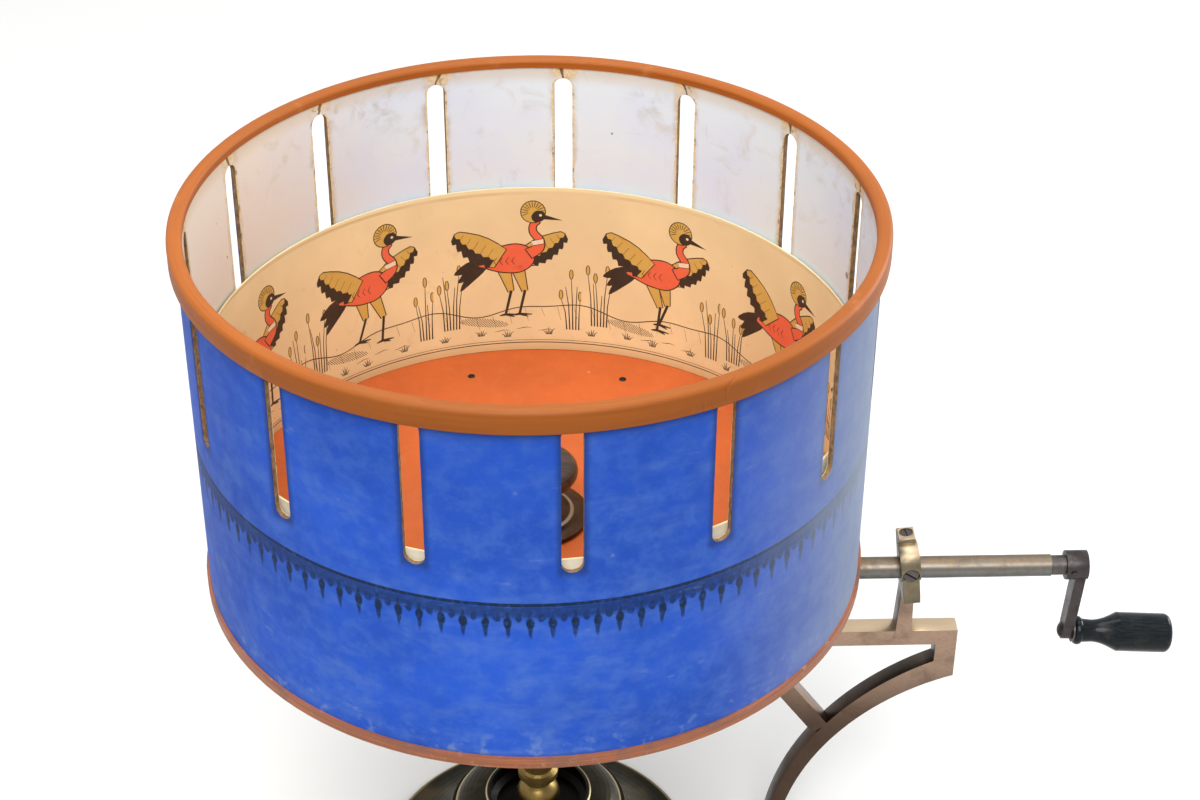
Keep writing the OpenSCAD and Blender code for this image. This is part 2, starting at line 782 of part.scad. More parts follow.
module clamp_strap() {
    color("darkgray") difference() {
        at_clamp() difference() {
            union() {
                slab_x(cap_w) cap_outline();
                slab_x(clamp_w) ear_outline();
            }
            translate([0, ear_screw_y, ear_h - ear_t - cut])
                cylinder(r = ear_screw_r + fixed_fit, h = ear_t + 2 * cut);
            translate([0, ear_screw_y, ear_h - ear_screw_head_h])
                cylinder(r = ear_screw_head_r + fixed_fit, h = ear_screw_head_h + cut);
            translate([0, 0, cap_screw_up]) {
                rod_y(cap_screw_r + fixed_fit, -2 * cap_r, 2 * cap_r);
                rod_y(cap_screw_head_r + cap_screw_gap, -2 * cap_r, 2 * cap_r + cap_seat_y);
            }
        }
        at_shaft() rod_x(tube_r + fixed_fit, clamp_x - 2 * clamp_w, 4 * clamp_w);
    }
}

// A screw along Y: a slotted head in front of y = 0 and a shank behind it
module slotted_screw(r, head_r, head_h, len, slot_turn) {
    difference() {
        union() {
            rod_y(head_r, -head_h, head_h);
            rod_y(r, -eps, len);
        }
        rotate([0, slot_turn, 0]) translate([-head_r - cut, -head_h - cut, -slot_cut_w / 2])
            cube([2 * (head_r + cut), slot_cut_d + cut, slot_cut_w]);
    }
}

module strap_screws() {
    tip = tube_r + 2 * fixed_fit;
    color("gray") at_clamp() {
        translate([0, ear_screw_y, ear_h - ear_screw_head_h]) rotate([-90, 0, 0])
            slotted_screw(ear_screw_r, ear_screw_head_r, ear_screw_head_h - ear_screw_sink,
                ear_t - ear_screw_head_h + ear_screw_in, ear_slot_turn);
        translate([0, cap_seat_y, cap_screw_up])
            slotted_screw(cap_screw_r, cap_screw_head_r, cap_screw_head_h, -cap_seat_y - tip, cap_slot_turn);
    }
}

// A plain post with a bored eye for the inner end of the tube
module inner_post() {
    color("silver") difference() {
        union() {
            translate([inner_post_x - clamp_w / 2, plate_y, bar_top])
                cube([clamp_w, plate_t, shaft_z - bar_top]);
            at_shaft() rod_x(eye_bearing_r, inner_post_x - eye_bearing_w / 2, eye_bearing_w);
        }
        at_shaft() rod_x(tube_r + fixed_fit, inner_post_x - eye_bearing_w, 2 * eye_bearing_w);
        translate([inner_post_x, 0, shaft_z]) rod_y(eye_screw_r + fixed_fit, -eye_bearing_r - cut, eye_bearing_r);
    }
}

module inner_post_screw() {
    color("gray") translate([inner_post_x, -eye_bearing_r, shaft_z])
        slotted_screw(eye_screw_r, eye_screw_head_r, eye_screw_head_h - 1,
            eye_bearing_r - tube_r - 2 * fixed_fit, eye_slot_turn);
}

module bearing_tube() {
    color("lightsteelblue") at_shaft() difference() {
        rod_x(tube_r, tube_x, tube_end_x - tube_x);
        rod_x(shaft_r + run_fit, tube_x - cut, tube_end_x - tube_x + 2 * cut);
    }
}

// ---- Crank ----

module crank_shaft() {
    color("slategray") at_shaft() difference() {
        rod_x(shaft_r, shaft_x, hub_x + hub_len - shaft_x);
        translate([crank_pin_x, 0, 0]) rod_y(crank_pin_r + fixed_fit, -shaft_r - cut, 2 * shaft_r + 2 * cut);
        translate([pinion_x + pinion_w + boss_len / 2, 0, 0])
            rod_y(boss_pin_r + fixed_fit, -shaft_r - cut, 2 * shaft_r + 2 * cut);
    }
}

// Half the angle of a pinion tooth at radius r, on involute flanks
function involute(a) = tan(a) * 180 / PI - a;
function half_tooth(r) = pinion_tooth_w / 2 / pitch_r * 180 / PI + involute(pressure_angle)
    - involute(acos(min(1, pitch_r * cos(pressure_angle) / r)));

module pinion() {
    radii = [pinion_root_r, pitch_r * cos(pressure_angle) + 0.1, pitch_r, pitch_r + addendum / 2, pinion_tip_r];
    outline = [for (i = [0 : pinion_teeth - 1], side = [-1, 1], j = [0 : len(radii) - 1])
        let (r = side < 0 ? radii[j] : radii[len(radii) - 1 - j],
            a = 90 + i * 360 / pinion_teeth + side * half_tooth(r))
        [r * cos(a), r * sin(a)]];
    color("gold") at_shaft() difference() {
        union() {
            translate([pinion_x + pinion_w / 2, 0, 0]) slab_x(pinion_w) polygon(outline);
            rod_x(boss_r, pinion_x + pinion_w - eps, boss_len + eps);
        }
        rod_x(shaft_r + fixed_fit, pinion_x - cut, pinion_w + boss_len + 2 * cut);
        translate([pinion_x + pinion_w + boss_len / 2, 0, 0])
            rod_y(boss_pin_r + fixed_fit, -boss_r - cut, 2 * boss_r + 2 * cut);
    }
}

module pinion_pin() {
    color("gray") at_shaft() translate([pinion_x + pinion_w + boss_len / 2, 0, 0])
        rod_y(boss_pin_r, -boss_r - 0.5, 2 * boss_r + 1);
}

module shaft_collar() {
    color("dimgray") at_shaft() difference() {
        rod_x(shaft_collar_r, collar_x, shaft_collar_len);
        rod_x(shaft_r + fixed_fit, collar_x - cut, shaft_collar_len + 2 * cut);
    }
}

// The arm's face outline in Y and Z about the shaft's axis
module arm_outline() {
    polygon([[-arm_half_w, 0], [arm_half_w, 0], [arm_end_r, -crank_reach], [-arm_end_r, -crank_reach]]);
    translate([0, -crank_reach]) circle(r = arm_end_r);
}

module crank_arm() {
    color("lightslategray") difference() {
        union() {
            at_shaft() rod_x(hub_r, hub_x, hub_len);
            translate([arm_x, 0, shaft_z]) rotate([0, crank_lean, 0]) slab_x(arm_t) arm_outline();
        }
        at_shaft() rod_x(shaft_r + fixed_fit, hub_x - cut, hub_len + 2 * cut);
        at_handle() rod_x(pin_r + fixed_fit, -arm_t, 2 * arm_t);
        translate([crank_pin_x, 0, shaft_z])
            rod_y(crank_pin_r + fixed_fit, -hub_r - cut, 2 * hub_r + 2 * cut);
    }
}

module crank_pin() {
    color("gray") translate([crank_pin_x, 0, shaft_z]) rod_y(crank_pin_r, -hub_r - 0.6, 2 * hub_r + 1.2);
}

// A pin with a domed head on the arm's back, riveted over the end washer
module handle_pin() {
    ball = (rivet_dome_r * rivet_dome_r + rivet_dome_h * rivet_dome_h) / (2 * rivet_dome_h);
    color("dimgray") at_handle() {
        rod_x(pin_r, -arm_t / 2 - eps, arm_t / 2 + pin_end_x);
        intersection() {
            translate([-arm_t / 2 - rivet_dome_h + ball, 0, 0]) sphere(r = ball);
            rod_x(rivet_dome_r, -arm_t / 2 - rivet_dome_h, rivet_dome_h);
        }
    }
}

module handle_washer() {
    color("darkgray") at_handle() difference() {
        rod_x(washer_r, arm_t / 2, washer_t);
        rod_x(pin_r + fixed_fit, arm_t / 2 - cut, washer_t + 2 * cut);
    }
}

module handle_end_washer() {
    from = handle_x + handle_len - recess_d + face_gap;
    color("darkgray") at_handle() difference() {
        rod_x(end_washer_r, from, end_washer_t);
        rod_x(pin_r + fixed_fit, from - cut, end_washer_t + 2 * cut);
    }
}

// A turned grip: a bead, a neck that flares out and a wide round-ended barrel
module crank_handle() {
    steps = 10;
    bead = [for (i = [0 : 6]) let (a = -90 + 180 * i / 6)
        [bead_r - 1.2 + 1.2 * cos(a), bead_len / 2 + bead_len / 2 * sin(a)]];
    flare = [for (i = [0 : steps]) let (t = i / steps)
        [handle_neck_r + (handle_r - handle_neck_r) * (1 - cos(90 * t)), flare_x + (wide_x - flare_x) * t]];
    nose = [for (i = [0 : 6]) let (a = 90 * i / 6)
        [handle_r - end_round + end_round * cos(a), handle_len - end_round + end_round * sin(a)]];
    color([0.12, 0.12, 0.13]) at_handle() translate([handle_x, 0, 0]) rotate([0, 90, 0]) difference() {
        rotate_extrude() polygon(concat([[0, 0]], bead, flare, nose, [[0, handle_len]]));
        translate([0, 0, -cut]) cylinder(r = pin_r + run_fit, h = handle_len + 2 * cut);
        translate([0, 0, handle_len - recess_d]) cylinder(r = recess_r, h = recess_d + cut);
    }
}

drum_wall();
outer_paper();
inner_lining();
rim_hoop();
base_hoop();
floor_board();
floor_paper();
floor_nails();
picture_strip();
hub_disc();
drum_knob();
hub_sleeve();
sleeve_screws();
crown_wheel();
wheel_rivets();
base_foot();
brass_cup();
base_weight();
base_pad();
pillar();
pillar_nut();
spindle();
thrust_washer();
bracket();
bracket_screw();
outer_post();
clamp_strap();
strap_screws();
inner_post();
inner_post_screw();
bearing_tube();
crank_shaft();
pinion();
pinion_pin();
shaft_collar();
crank_arm();
crank_pin();
handle_pin();
handle_washer();
handle_end_washer();
crank_handle();
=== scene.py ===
"""Looks of a hand-cranked zoetrope: its papers, printed strip, wood, brass and steel."""
import math
import random

import bmesh
import bpy
import numpy as np
from bpy.props import FloatProperty, FloatVectorProperty, IntProperty, PointerProperty
from mathutils import Matrix, Vector
from mathutils.geometry import delaunay_2d_cdt


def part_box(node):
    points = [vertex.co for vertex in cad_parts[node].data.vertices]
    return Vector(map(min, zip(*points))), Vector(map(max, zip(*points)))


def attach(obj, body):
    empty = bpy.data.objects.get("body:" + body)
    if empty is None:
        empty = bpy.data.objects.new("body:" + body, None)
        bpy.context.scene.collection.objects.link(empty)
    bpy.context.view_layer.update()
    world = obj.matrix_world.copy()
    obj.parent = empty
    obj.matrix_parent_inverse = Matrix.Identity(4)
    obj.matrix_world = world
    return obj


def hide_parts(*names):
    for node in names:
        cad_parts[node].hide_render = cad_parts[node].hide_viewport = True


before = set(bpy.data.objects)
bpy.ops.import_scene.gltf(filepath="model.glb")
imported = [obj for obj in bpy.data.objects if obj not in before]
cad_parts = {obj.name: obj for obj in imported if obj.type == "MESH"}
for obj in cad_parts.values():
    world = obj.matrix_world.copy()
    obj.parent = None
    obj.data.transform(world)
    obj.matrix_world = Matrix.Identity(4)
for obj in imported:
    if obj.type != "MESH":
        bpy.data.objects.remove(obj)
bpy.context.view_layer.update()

bl_info = {
    "name": "Hand-cranked zoetrope",
    "version": (1, 0, 0),
    "blender": (4, 5, 0),
    "location": "View3D > Sidebar > Zoetrope",
    "description": "Dresses a crank-driven zoetrope in paper, print, wood, brass and steel",
    "category": "Object",
}

MM = 0.001
SMOOTH_ANGLE = math.radians(32)
SEED = 11
BLACK = (0.0, 0.0, 0.0)
BACKDROP = (0.97, 0.97, 0.96)
FILL_LIGHT = (0.51, 0.53, 0.55)
NAIL_HEAD_R = 1.9 * MM
NAIL_R = 0.7 * MM
STRIP_T = 0.8
CARD_INK, RED, MUSTARD, DARK, CREAM, STRIP_BACK = range(6)
TORN = 1
HOLE = -1


def outer_radius(node):
    """Outer radius of a round CAD node about the drum's axis, in mm."""
    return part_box(node)[1].x / MM


def low_of(node):
    """Height of a CAD node's underside, in mm."""
    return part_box(node)[0].z / MM


def top_of(node):
    """Height of a CAD node's top, in mm."""
    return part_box(node)[1].z / MM


PAPER_T = outer_radius("outer_paper") - outer_radius("drum_wall")
PAPER_R = outer_radius("outer_paper")
CARD_R = outer_radius("drum_wall")
LINING_R = outer_radius("inner_lining")
WALL_LOW = low_of("outer_paper")
WALL_TOP = top_of("outer_paper")
STRIP_R = outer_radius("picture_strip")
STRIP_LOW = low_of("picture_strip")
STRIP_TOP = top_of("picture_strip")
RIM_R = outer_radius("rim_hoop")
RIM_TOP = top_of("rim_hoop")
RIM_LOW = low_of("rim_hoop")
FLOOR_TOP = top_of("floor_paper")


# ---- Settings ----

def tint(name, text, value):
    """A colour setting."""
    return FloatVectorProperty(name=name, description=text, subtype="COLOR", size=3,
                               default=value, min=0, max=1)


def span(name, text, value):
    """A length setting, in metres."""
    return FloatProperty(name=name, description=text, unit="LENGTH", default=value, min=0)


class DrumSettings(bpy.types.PropertyGroup):
    """Sizes and colours of the drum's papers and hoops."""
    slot_count: IntProperty(name="Slots", description="Number of viewing slots", default=15, min=3)
    slot_width: span("Slot width", "Width of a viewing slot", 0.0086)
    slot_rise: span("Slot rise", "Height of the slots' lower ends above the drum's edge", 0.098)
    slot_length: span("Slot length", "Length of a viewing slot", 0.067)
    slot_phase: FloatProperty(name="First slot", description="Azimuth of the first slot, in degrees",
                              default=155.6)
    border_rise: span("Border rise", "Height of the printed border's line", 0.083)
    border_drops: IntProperty(name="Border drops", description="Drops round the border",
                              default=105, min=3)
    blue: tint("Blue", "Colour of the outer paper", (0.023, 0.104, 0.61))
    navy: tint("Navy", "Colour of the printed border", (0.004, 0.018, 0.055))
    lining: tint("Lining", "Colour of the paper inside", (0.71, 0.81, 0.86))
    floor: tint("Floor", "Colour of the paper on the floor", (0.55, 0.113, 0.021))
    hoop: tint("Rim wood", "Colour of the rim hoop", (0.368, 0.100, 0.013))
    rust: tint("Lower hoop", "Colour of the hoop round the lower edge", (0.37, 0.120, 0.052))
    nail_count: IntProperty(name="Nails", description="Nails in the floor", default=10, min=1)
    nail_ring: span("Nail ring", "Radius of the ring of nails", 0.121)
    nail_phase: FloatProperty(name="First nail", description="Azimuth of the first nail, in degrees",
                              default=104.5)


class StripSettings(bpy.types.PropertyGroup):
    """Sizes and inks of the picture strip."""
    phases: IntProperty(name="Phases", description="Pictures round the strip", default=12, min=4)
    bird_scale: FloatProperty(name="Bird size", description="Size of the printed bird", default=0.98)
    bob: span("Hop", "How far the bird hops", 0.004)
    droop: span("Droop", "How much lower the strip stands at the near side", 0.0066)
    card: tint("Card", "Colour of the strip's card", (0.79, 0.63, 0.35))
    red: tint("Red", "Red ink", (0.80, 0.090, 0.035))
    mustard: tint("Mustard", "Yellow ink", (0.60, 0.36, 0.045))
    black: tint("Black", "Black ink", (0.012, 0.008, 0.007))
    cream: tint("Cream", "Bare highlights of the print", (0.86, 0.74, 0.56))


class MetalSettings(bpy.types.PropertyGroup):
    """Colours of the metals."""
    steel: tint("Steel", "Worn steel of the tube and shaft", (0.175, 0.168, 0.153))
    bracket: tint("Bracket", "Satin steel of the bracket", (0.345, 0.235, 0.17))
    strap: tint("Strap", "Yellowed steel of the strap", (0.21, 0.172, 0.112))
    dark: tint("Dark steel", "Browned steel of the crank and screws", (0.115, 0.10, 0.098))
    brass: tint("Brass", "Aged brass", (0.40, 0.27, 0.085))
    bronze: tint("Bronze", "Dark bronze of the hub's disc", (0.085, 0.048, 0.030))
    patina: tint("Patina", "Green-brown skin of the foot", (0.012, 0.0115, 0.007))


class StageSettings(bpy.types.PropertyGroup):
    """Floor, lamps and camera."""
    floor: tint("Floor", "Colour of the floor", (0.80, 0.79, 0.77))
    table: tint("Table", "Colour that the floor throws back on the object", (0.22, 0.18, 0.15))
    camera_back: span("Camera distance", "Distance of the camera in front of the axis", 0.84027)
    camera_height: span("Camera height", "Height of the camera above the table", 0.83966)
    camera_yaw: FloatProperty(name="Yaw", description="Turn of the camera to the right, in degrees",
                              default=1.996)
    camera_pitch: FloatProperty(name="Pitch", description="Downward tilt of the camera, in degrees",
                                default=33.82)
    camera_roll: FloatProperty(name="Roll", description="Roll of the camera, in degrees", default=0.349)
    lens: FloatProperty(name="Lens", description="Focal length for a 36 mm sensor", default=69.34)


# ---- Shader maths ----

def maths(operation, swap=False):
    """A method that adds one Math node; swap puts the number itself last."""
    def method(self, *others):
        numbers = (*others, self) if swap else (self, *others)
        return self.tree.math(operation, *numbers)
    return method


class Num:
    """A number in a node tree: Python's operators on it add Math nodes."""

    def __init__(self, tree, socket):
        self.tree = tree
        self.socket = socket

    __add__ = __radd__ = maths("ADD")
    __sub__ = maths("SUBTRACT")
    __rsub__ = maths("SUBTRACT", swap=True)
    __mul__ = __rmul__ = maths("MULTIPLY")
    __truediv__ = maths("DIVIDE")
    __rtruediv__ = maths("DIVIDE", swap=True)
    __pow__ = maths("POWER")
    __abs__ = maths("ABSOLUTE")
    least = maths("MINIMUM")
    most = maths("MAXIMUM")

    def rise(self, low, high):
        """0 below low, 1 above high and smooth between them; low may be above high."""
        node = self.tree.node("ShaderNodeMapRange", {"interpolation_type": "SMOOTHSTEP"},
                              {"Value": self, "From Min": low, "From Max": high})
        return Num(self.tree, node.outputs["Result"])

    def repeat(self, period):
        """Distance from the middle of the repeat that this number is in."""
        return self.tree.math("FLOORED_MODULO", self, period) - period / 2


class Tree:
    """A node tree that is built in code."""

    def __init__(self, tree):
        self.tree = tree
        tree.nodes.clear()

    def node(self, kind, settings=None, values=None):
        """Adds a node with its settings, and its sockets' values or links by name or index."""
        made = self.tree.nodes.new(kind)
        for name, value in (settings or {}).items():
            setattr(made, name, value)
        for name, value in (values or {}).items():
            self.feed(made.inputs[name], value)
        return made

    def feed(self, socket, value):
        """Links a socket to a value's node, or sets it to a constant."""
        if isinstance(value, Num):
            value = value.socket
        if isinstance(value, bpy.types.NodeSocket):
            self.tree.links.new(value, socket)
        elif socket.type == "RGBA":
            socket.default_value = (*value, 1)
        else:
            socket.default_value = value

    def math(self, operation, *numbers):
        made = self.node("ShaderNodeMath", {"operation": operation}, dict(enumerate(numbers)))
        return Num(self, made.outputs[0])

    def vector(self, x, y, z):
        return self.node("ShaderNodeCombineXYZ", {}, {"X": x, "Y": y, "Z": z}).outputs["Vector"]

    def blend(self, fac, first, second):
        """Mixes two colours."""
        made = self.node("ShaderNodeMix", {"data_type": "RGBA"}, {0: fac, 6: first, 7: second})
        return made.outputs[2]


class Paint(Tree):
    """A material's node tree. Lengths in it are millimetres on the object."""

    def __init__(self, name):
        self.material = bpy.data.materials.new(name)
        self.material.use_nodes = True
        super().__init__(self.material.node_tree)
        place = self.node("ShaderNodeTexCoord").outputs["Object"]
        self.place = self.node("ShaderNodeVectorMath", {"operation": "SCALE"},
                               {"Vector": place, "Scale": 1 / MM}).outputs["Vector"]
        split = self.node("ShaderNodeSeparateXYZ", {}, {"Vector": self.place})
        self.x, self.y, self.z = (Num(self, split.outputs[axis]) for axis in "XYZ")

    def azimuth(self):
        """Angle about the drum's axis, in degrees."""
        return self.math("ARCTAN2", self.y, self.x) * math.degrees(1)

    def radius(self):
        """Distance from the drum's axis, in mm."""
        return self.math("SQRT", self.x * self.x + self.y * self.y)

    def stretched(self, x, y, z):
        """The place on the object, scaled along each axis."""
        return self.vector(self.x * x, self.y * y, self.z * z)

    def noise(self, size, detail=3.0, rough=0.55, where=None, warp=0.0, four=None):
        """Noise whose lumps are about size mm across; four is a fourth coordinate."""
        values = {"Vector": where or self.place, "Scale": 1 / size, "Detail": detail,
                  "Roughness": rough, "Distortion": warp}
        settings = {}
        if four is not None:
            settings["noise_dimensions"] = "4D"
            values["W"] = four
        made = self.node("ShaderNodeTexNoise", settings, values)
        return Num(self, made.outputs["Fac"])

    def cells(self, size, where=None):
        """Distance to the nearest of scattered points about size mm apart, as a share of size."""
        made = self.node("ShaderNodeTexVoronoi", {},
                         {"Vector": where or self.place, "Scale": 1 / size})
        return Num(self, made.outputs["Distance"])

    def round_grain(self, length, width):
        """Noise stretched round the drum: length mm along the turn and width mm across it."""
        radius = self.radius()
        ratio = width / length
        where = self.vector(self.x * ratio, self.y * ratio, self.z)
        return self.noise(width, 4, 0.6, where, four=radius / width)

    def ground(self, fac, first, second):
        """Starts the surface's colour as a mix of two."""
        self.colour = self.blend(fac, first, second)

    def tones(self, fac, colour, dark, light):
        """Starts the surface's colour as one colour made darker and lighter."""
        self.ground(fac, shade(colour, dark), shade(colour, light))

    def over(self, fac, colour):
        """Lays a colour over the surface's colour, where fac is above 0."""
        self.colour = self.blend(fac, self.colour, colour)

    def finish(self, rough, height=None, metal=0.0, specular=0.5, **fixed):
        """Ends the tree in one Principled shader: height in mm gives its normal, and fixed holds
        its plain sockets' numbers."""
        values = {"Base Color": self.colour, "Roughness": rough, "Metallic": metal,
                  "Specular IOR Level": specular}
        values.update({name.replace("_", " "): value for name, value in fixed.items()})
        if height is not None:
            bump = self.node("ShaderNodeBump", {}, {"Height": height, "Distance": MM})
            values["Normal"] = bump.outputs["Normal"]
        shader = self.node("ShaderNodeBsdfPrincipled", {}, values)
        self.node("ShaderNodeOutputMaterial", {}, {"Surface": shader.outputs["BSDF"]})
        return self.material


def seen_rays(tree):
    """1 for rays from the camera or from a shiny or clear surface, 0 for the light that fills in."""
    path = tree.node("ShaderNodeLightPath").outputs
    camera, glossy, clear = (Num(tree, path[name]) for name in
                             ("Is Camera Ray", "Is Glossy Ray", "Is Transmission Ray"))
    return camera.most(glossy).most(clear)


def shade(colour, factor):
    """A colour made darker or lighter."""
    return tuple(min(1.0, part * factor) for part in colour)


def mixed(first, second, share):
    """A colour between two others."""
    return tuple(a + (b - a) * share for a, b in zip(first, second))


# ---- Papers and card ----

def slot_distance(paint, drum):
    """Distance in mm from the nearest viewing slot's middle line, along the turn."""
    pitch = 360 / drum.slot_count
    turn = (paint.azimuth() - (drum.slot_phase - pitch / 2)).repeat(pitch)
    return abs(turn) * math.radians(PAPER_R)


def blue_paper(drum):
    """Cobalt paper with a printed navy border, rubbed pale in patches, and pale on one side from fading
    and a painted sheen.
    """
    paint = Paint("blue paper")
    rise = paint.z - WALL_LOW
    broad = paint.noise(60, 3, 0.6)
    mottle = paint.noise(9, 4, 0.65)
    fibre = paint.noise(0.9, 3, 0.7)
    paint.tones(broad.rise(0.3, 0.75), drum.blue, 0.84, 1.14)
    paint.over(mottle.rise(0.38, 0.70) * 0.42, (0.085, 0.205, 0.65))
    paint.over(rise.rise(105, 150) * 0.25, shade(drum.blue, 0.70))
    lower = rise.rise(112, 20)
    wiped = paint.round_grain(24, 10).rise(0.46, 0.78)
    paint.over(wiped * (0.34 + lower * 0.12), (0.13, 0.25, 0.62))
    border(paint, drum, rise, paint.noise(2.2, 3, 0.6))
    scuff = paint.round_grain(13, 4.5).rise(0.60, 0.78) * paint.noise(30).rise(0.42, 0.62)
    speck = paint.cells(19).rise(0.07, 0.03) * paint.noise(25).rise(0.5, 0.62)
    pale_marks = (scuff * (0.32 + lower * 0.3)).most(speck * 0.4)
    paint.over(pale_marks, (0.30, 0.40, 0.62))
    # Darker blue along the slots: partly smudged ink, partly painted shade at the openings.
    edge = slot_distance(paint, drum)
    reach = drum.slot_rise / MM
    at_slot = edge.rise(7.5, 4.4) * rise.rise(reach - 4, reach + 1)
    paint.over(at_slot * (0.4 + mottle * 0.45), (0.008, 0.022, 0.10))
    bare = rise.rise(24, 6) * paint.noise(6, 2, 0.5).rise(0.54, 0.72)
    paint.over(bare * 0.45, (0.26, 0.38, 0.60))
    hems = rise.rise(7, 5).most(rise.rise(158, 163)) * 0.5
    paint.over(hems * mottle.rise(0.3, 0.7), (0.020, 0.05, 0.22))
    # Pale grey-blue over the right side: partly faded paper, partly a painted sheen.
    sheen_and_fade = (paint.azimuth() + broad * 16).rise(-60, -6) * paint.azimuth().rise(56, 14)
    paint.over(sheen_and_fade * (0.66 + mottle * 0.4).least(1), (0.31, 0.36, 0.43))
    height = fibre * 0.018 + mottle * 0.05 - scuff * 0.03
    rough = 0.54 + fibre * 0.1 + pale_marks * 0.2
    return paint.finish(rough, height, specular=0.17)


def border(paint, drum, rise, wear):
    """Prints the border: a line with a blurred wash, and below it long and short drops in turn."""
    line = drum.border_rise / MM
    step = 360 / drum.border_drops
    arc = math.radians(PAPER_R)
    blot = paint.noise(3.5, 3, 0.6) - 0.5
    turn = paint.azimuth() + blot * 0.45
    below = line - rise
    ragged = below + blot * 2.4
    long_u = abs(turn.repeat(step)) * arc
    short_u = abs((turn + step / 2).repeat(step)) * arc
    band = below.rise(-1.0, -0.5) * below.rise(1.3, 0.7)
    hair = below.rise(1.8, 2.1) * below.rise(3.0, 2.7)
    wash = below.rise(0.6, 1.4) * ragged.rise(8.2, 5.2)
    head = ((long_u / 1.75) ** 2 + ((ragged - 9.0) / 3.2) ** 2).rise(1.25, 0.5)
    half = (17.5 - below) * 0.13 + 0.35
    tail = (half - long_u).rise(-0.3, 0.4) * below.rise(9.5, 10.5) * ragged.rise(18.0, 14.5)
    bud = ((short_u / 1.7) ** 2 + ((ragged - 6.0) / 2.6) ** 2).rise(1.3, 0.5)
    stem = long_u.rise(1.1, 0.5) * below.rise(2.5, 3.5) * below.rise(9, 8)
    ink = (band * 0.95).most(hair * 0.6).most(head * 0.97).most(tail * 0.80).most(bud * 0.80)
    ink = ink.most(stem * 0.85).most(wash * 0.70) * (1.05 - wear.rise(0.46, 0.8) * 0.42)
    paint.over(ink.least(1), drum.navy)


def lining_paper(drum):
    """Pale paper inside the drum, gone yellow low down, stained and specked, with painted warm light on
    its left side.
    """
    paint = Paint("lining paper")
    broad = paint.noise(70, 3, 0.6)
    blotch = paint.noise(14, 4, 0.65, warp=0.8)
    rise = paint.z - WALL_LOW
    warm = mixed(drum.lining, (0.72, 0.58, 0.42), 0.2)
    paint.ground(rise.rise(165, 95), drum.lining, warm)
    paint.over(broad.rise(0.35, 0.7) * 0.6, (0.63, 0.71, 0.90))
    paint.over(blotch.rise(0.56, 0.75) * 0.26, (0.52, 0.42, 0.30))
    run = paint.noise(5, 4, 0.7, paint.stretched(1, 1, 0.22))
    paint.over(run.rise(0.62, 0.76) * 0.22, (0.40, 0.34, 0.20))
    # Warmer cream towards the left side: painted warm reflected light.
    painted_warm_light = paint.x.rise(-55, -135)
    paint.over(painted_warm_light * 0.7, (0.74, 0.60, 0.44))
    fleck = paint.cells(17).rise(0.05, 0.02).most(paint.cells(41).rise(0.05, 0.03))
    paint.over(fleck * 0.75, (0.20, 0.12, 0.06))
    damp = blotch.rise(0.48, 0.66) * rise.rise(128, 166) * broad.rise(0.45, 0.6)
    paint.over(damp * 0.45, (0.42, 0.38, 0.25))
    scratch = paint.cells(24, paint.stretched(1, 1, 0.13)).rise(0.05, 0.022)
    paint.over(scratch * paint.noise(18).rise(0.45, 0.6) * 0.6, (0.22, 0.18, 0.12))
    edge = slot_distance(paint, drum)
    tear = edge.rise(8, 4.5) * rise.rise(90, 100) * blotch.rise(0.35, 0.6)
    paint.over(tear * 0.5, (0.42, 0.28, 0.13))
    hem = rise.rise(161, 168) * 0.45
    paint.over(hem, (0.60, 0.47, 0.28))
    fibre = paint.noise(1.1, 3, 0.7)
    return paint.finish(0.62 + fibre * 0.12, fibre * 0.02 + blotch * 0.12, specular=0.35)


def torn_paper():
    """The rough layer that shows where the lining is torn off."""
    paint = Paint("torn paper")
    fibre = paint.noise(1.3, 5, 0.75)
    paint.ground(fibre.rise(0.3, 0.7), (0.62, 0.47, 0.25), (0.78, 0.67, 0.45))
    paint.over(paint.noise(4).rise(0.55, 0.7) * 0.7, (0.16, 0.09, 0.04))
    return paint.finish(0.85, fibre * 0.2, specular=0.3)


def wall_card():
    """Brown pasteboard, seen in the slots and cracks."""
    paint = Paint("wall card")
    layers = paint.noise(1.2, 4, 0.7, paint.stretched(1, 1, 0.4))
    paint.ground(layers.rise(0.3, 0.7), (0.12, 0.065, 0.03), (0.34, 0.21, 0.10))
    return paint.finish(0.8, layers * 0.15, specular=0.3)


def floor_paper(drum):
    """Orange-red paper on the floor, dusty and rubbed."""
    paint = Paint("floor paper")
    broad = paint.noise(55, 3, 0.6)
    mottle = paint.noise(7, 4, 0.7)
    paint.tones(broad.rise(0.3, 0.7), drum.floor, 0.9, 1.07)
    paint.over(mottle.rise(0.45, 0.75) * 0.2, (0.62, 0.19, 0.07))
    grime = paint.noise(20, 5, 0.75, warp=1.0).rise(0.58, 0.78)
    paint.over(grime * 0.25, (0.30, 0.07, 0.02))
    fleck = paint.cells(13).rise(0.045, 0.02)
    paint.over(fleck * 0.8, (0.10, 0.03, 0.015))
    pale = paint.cells(23).rise(0.06, 0.03)
    paint.over(pale * 0.5, (0.80, 0.45, 0.25))
    fibre = paint.noise(1.0, 3, 0.7)
    return paint.finish(0.6 + fibre * 0.15, fibre * 0.025 + mottle * 0.05, specular=0.4)


def strip_card(strip):
    """Cream card of the strip, browned by age and grubby at its edges."""
    paint = Paint("strip card")
    aged_card(paint, strip)
    fibre = paint.noise(0.8, 3, 0.7)
    return paint.finish(0.58 + fibre * 0.12, fibre * 0.014, specular=0.4)


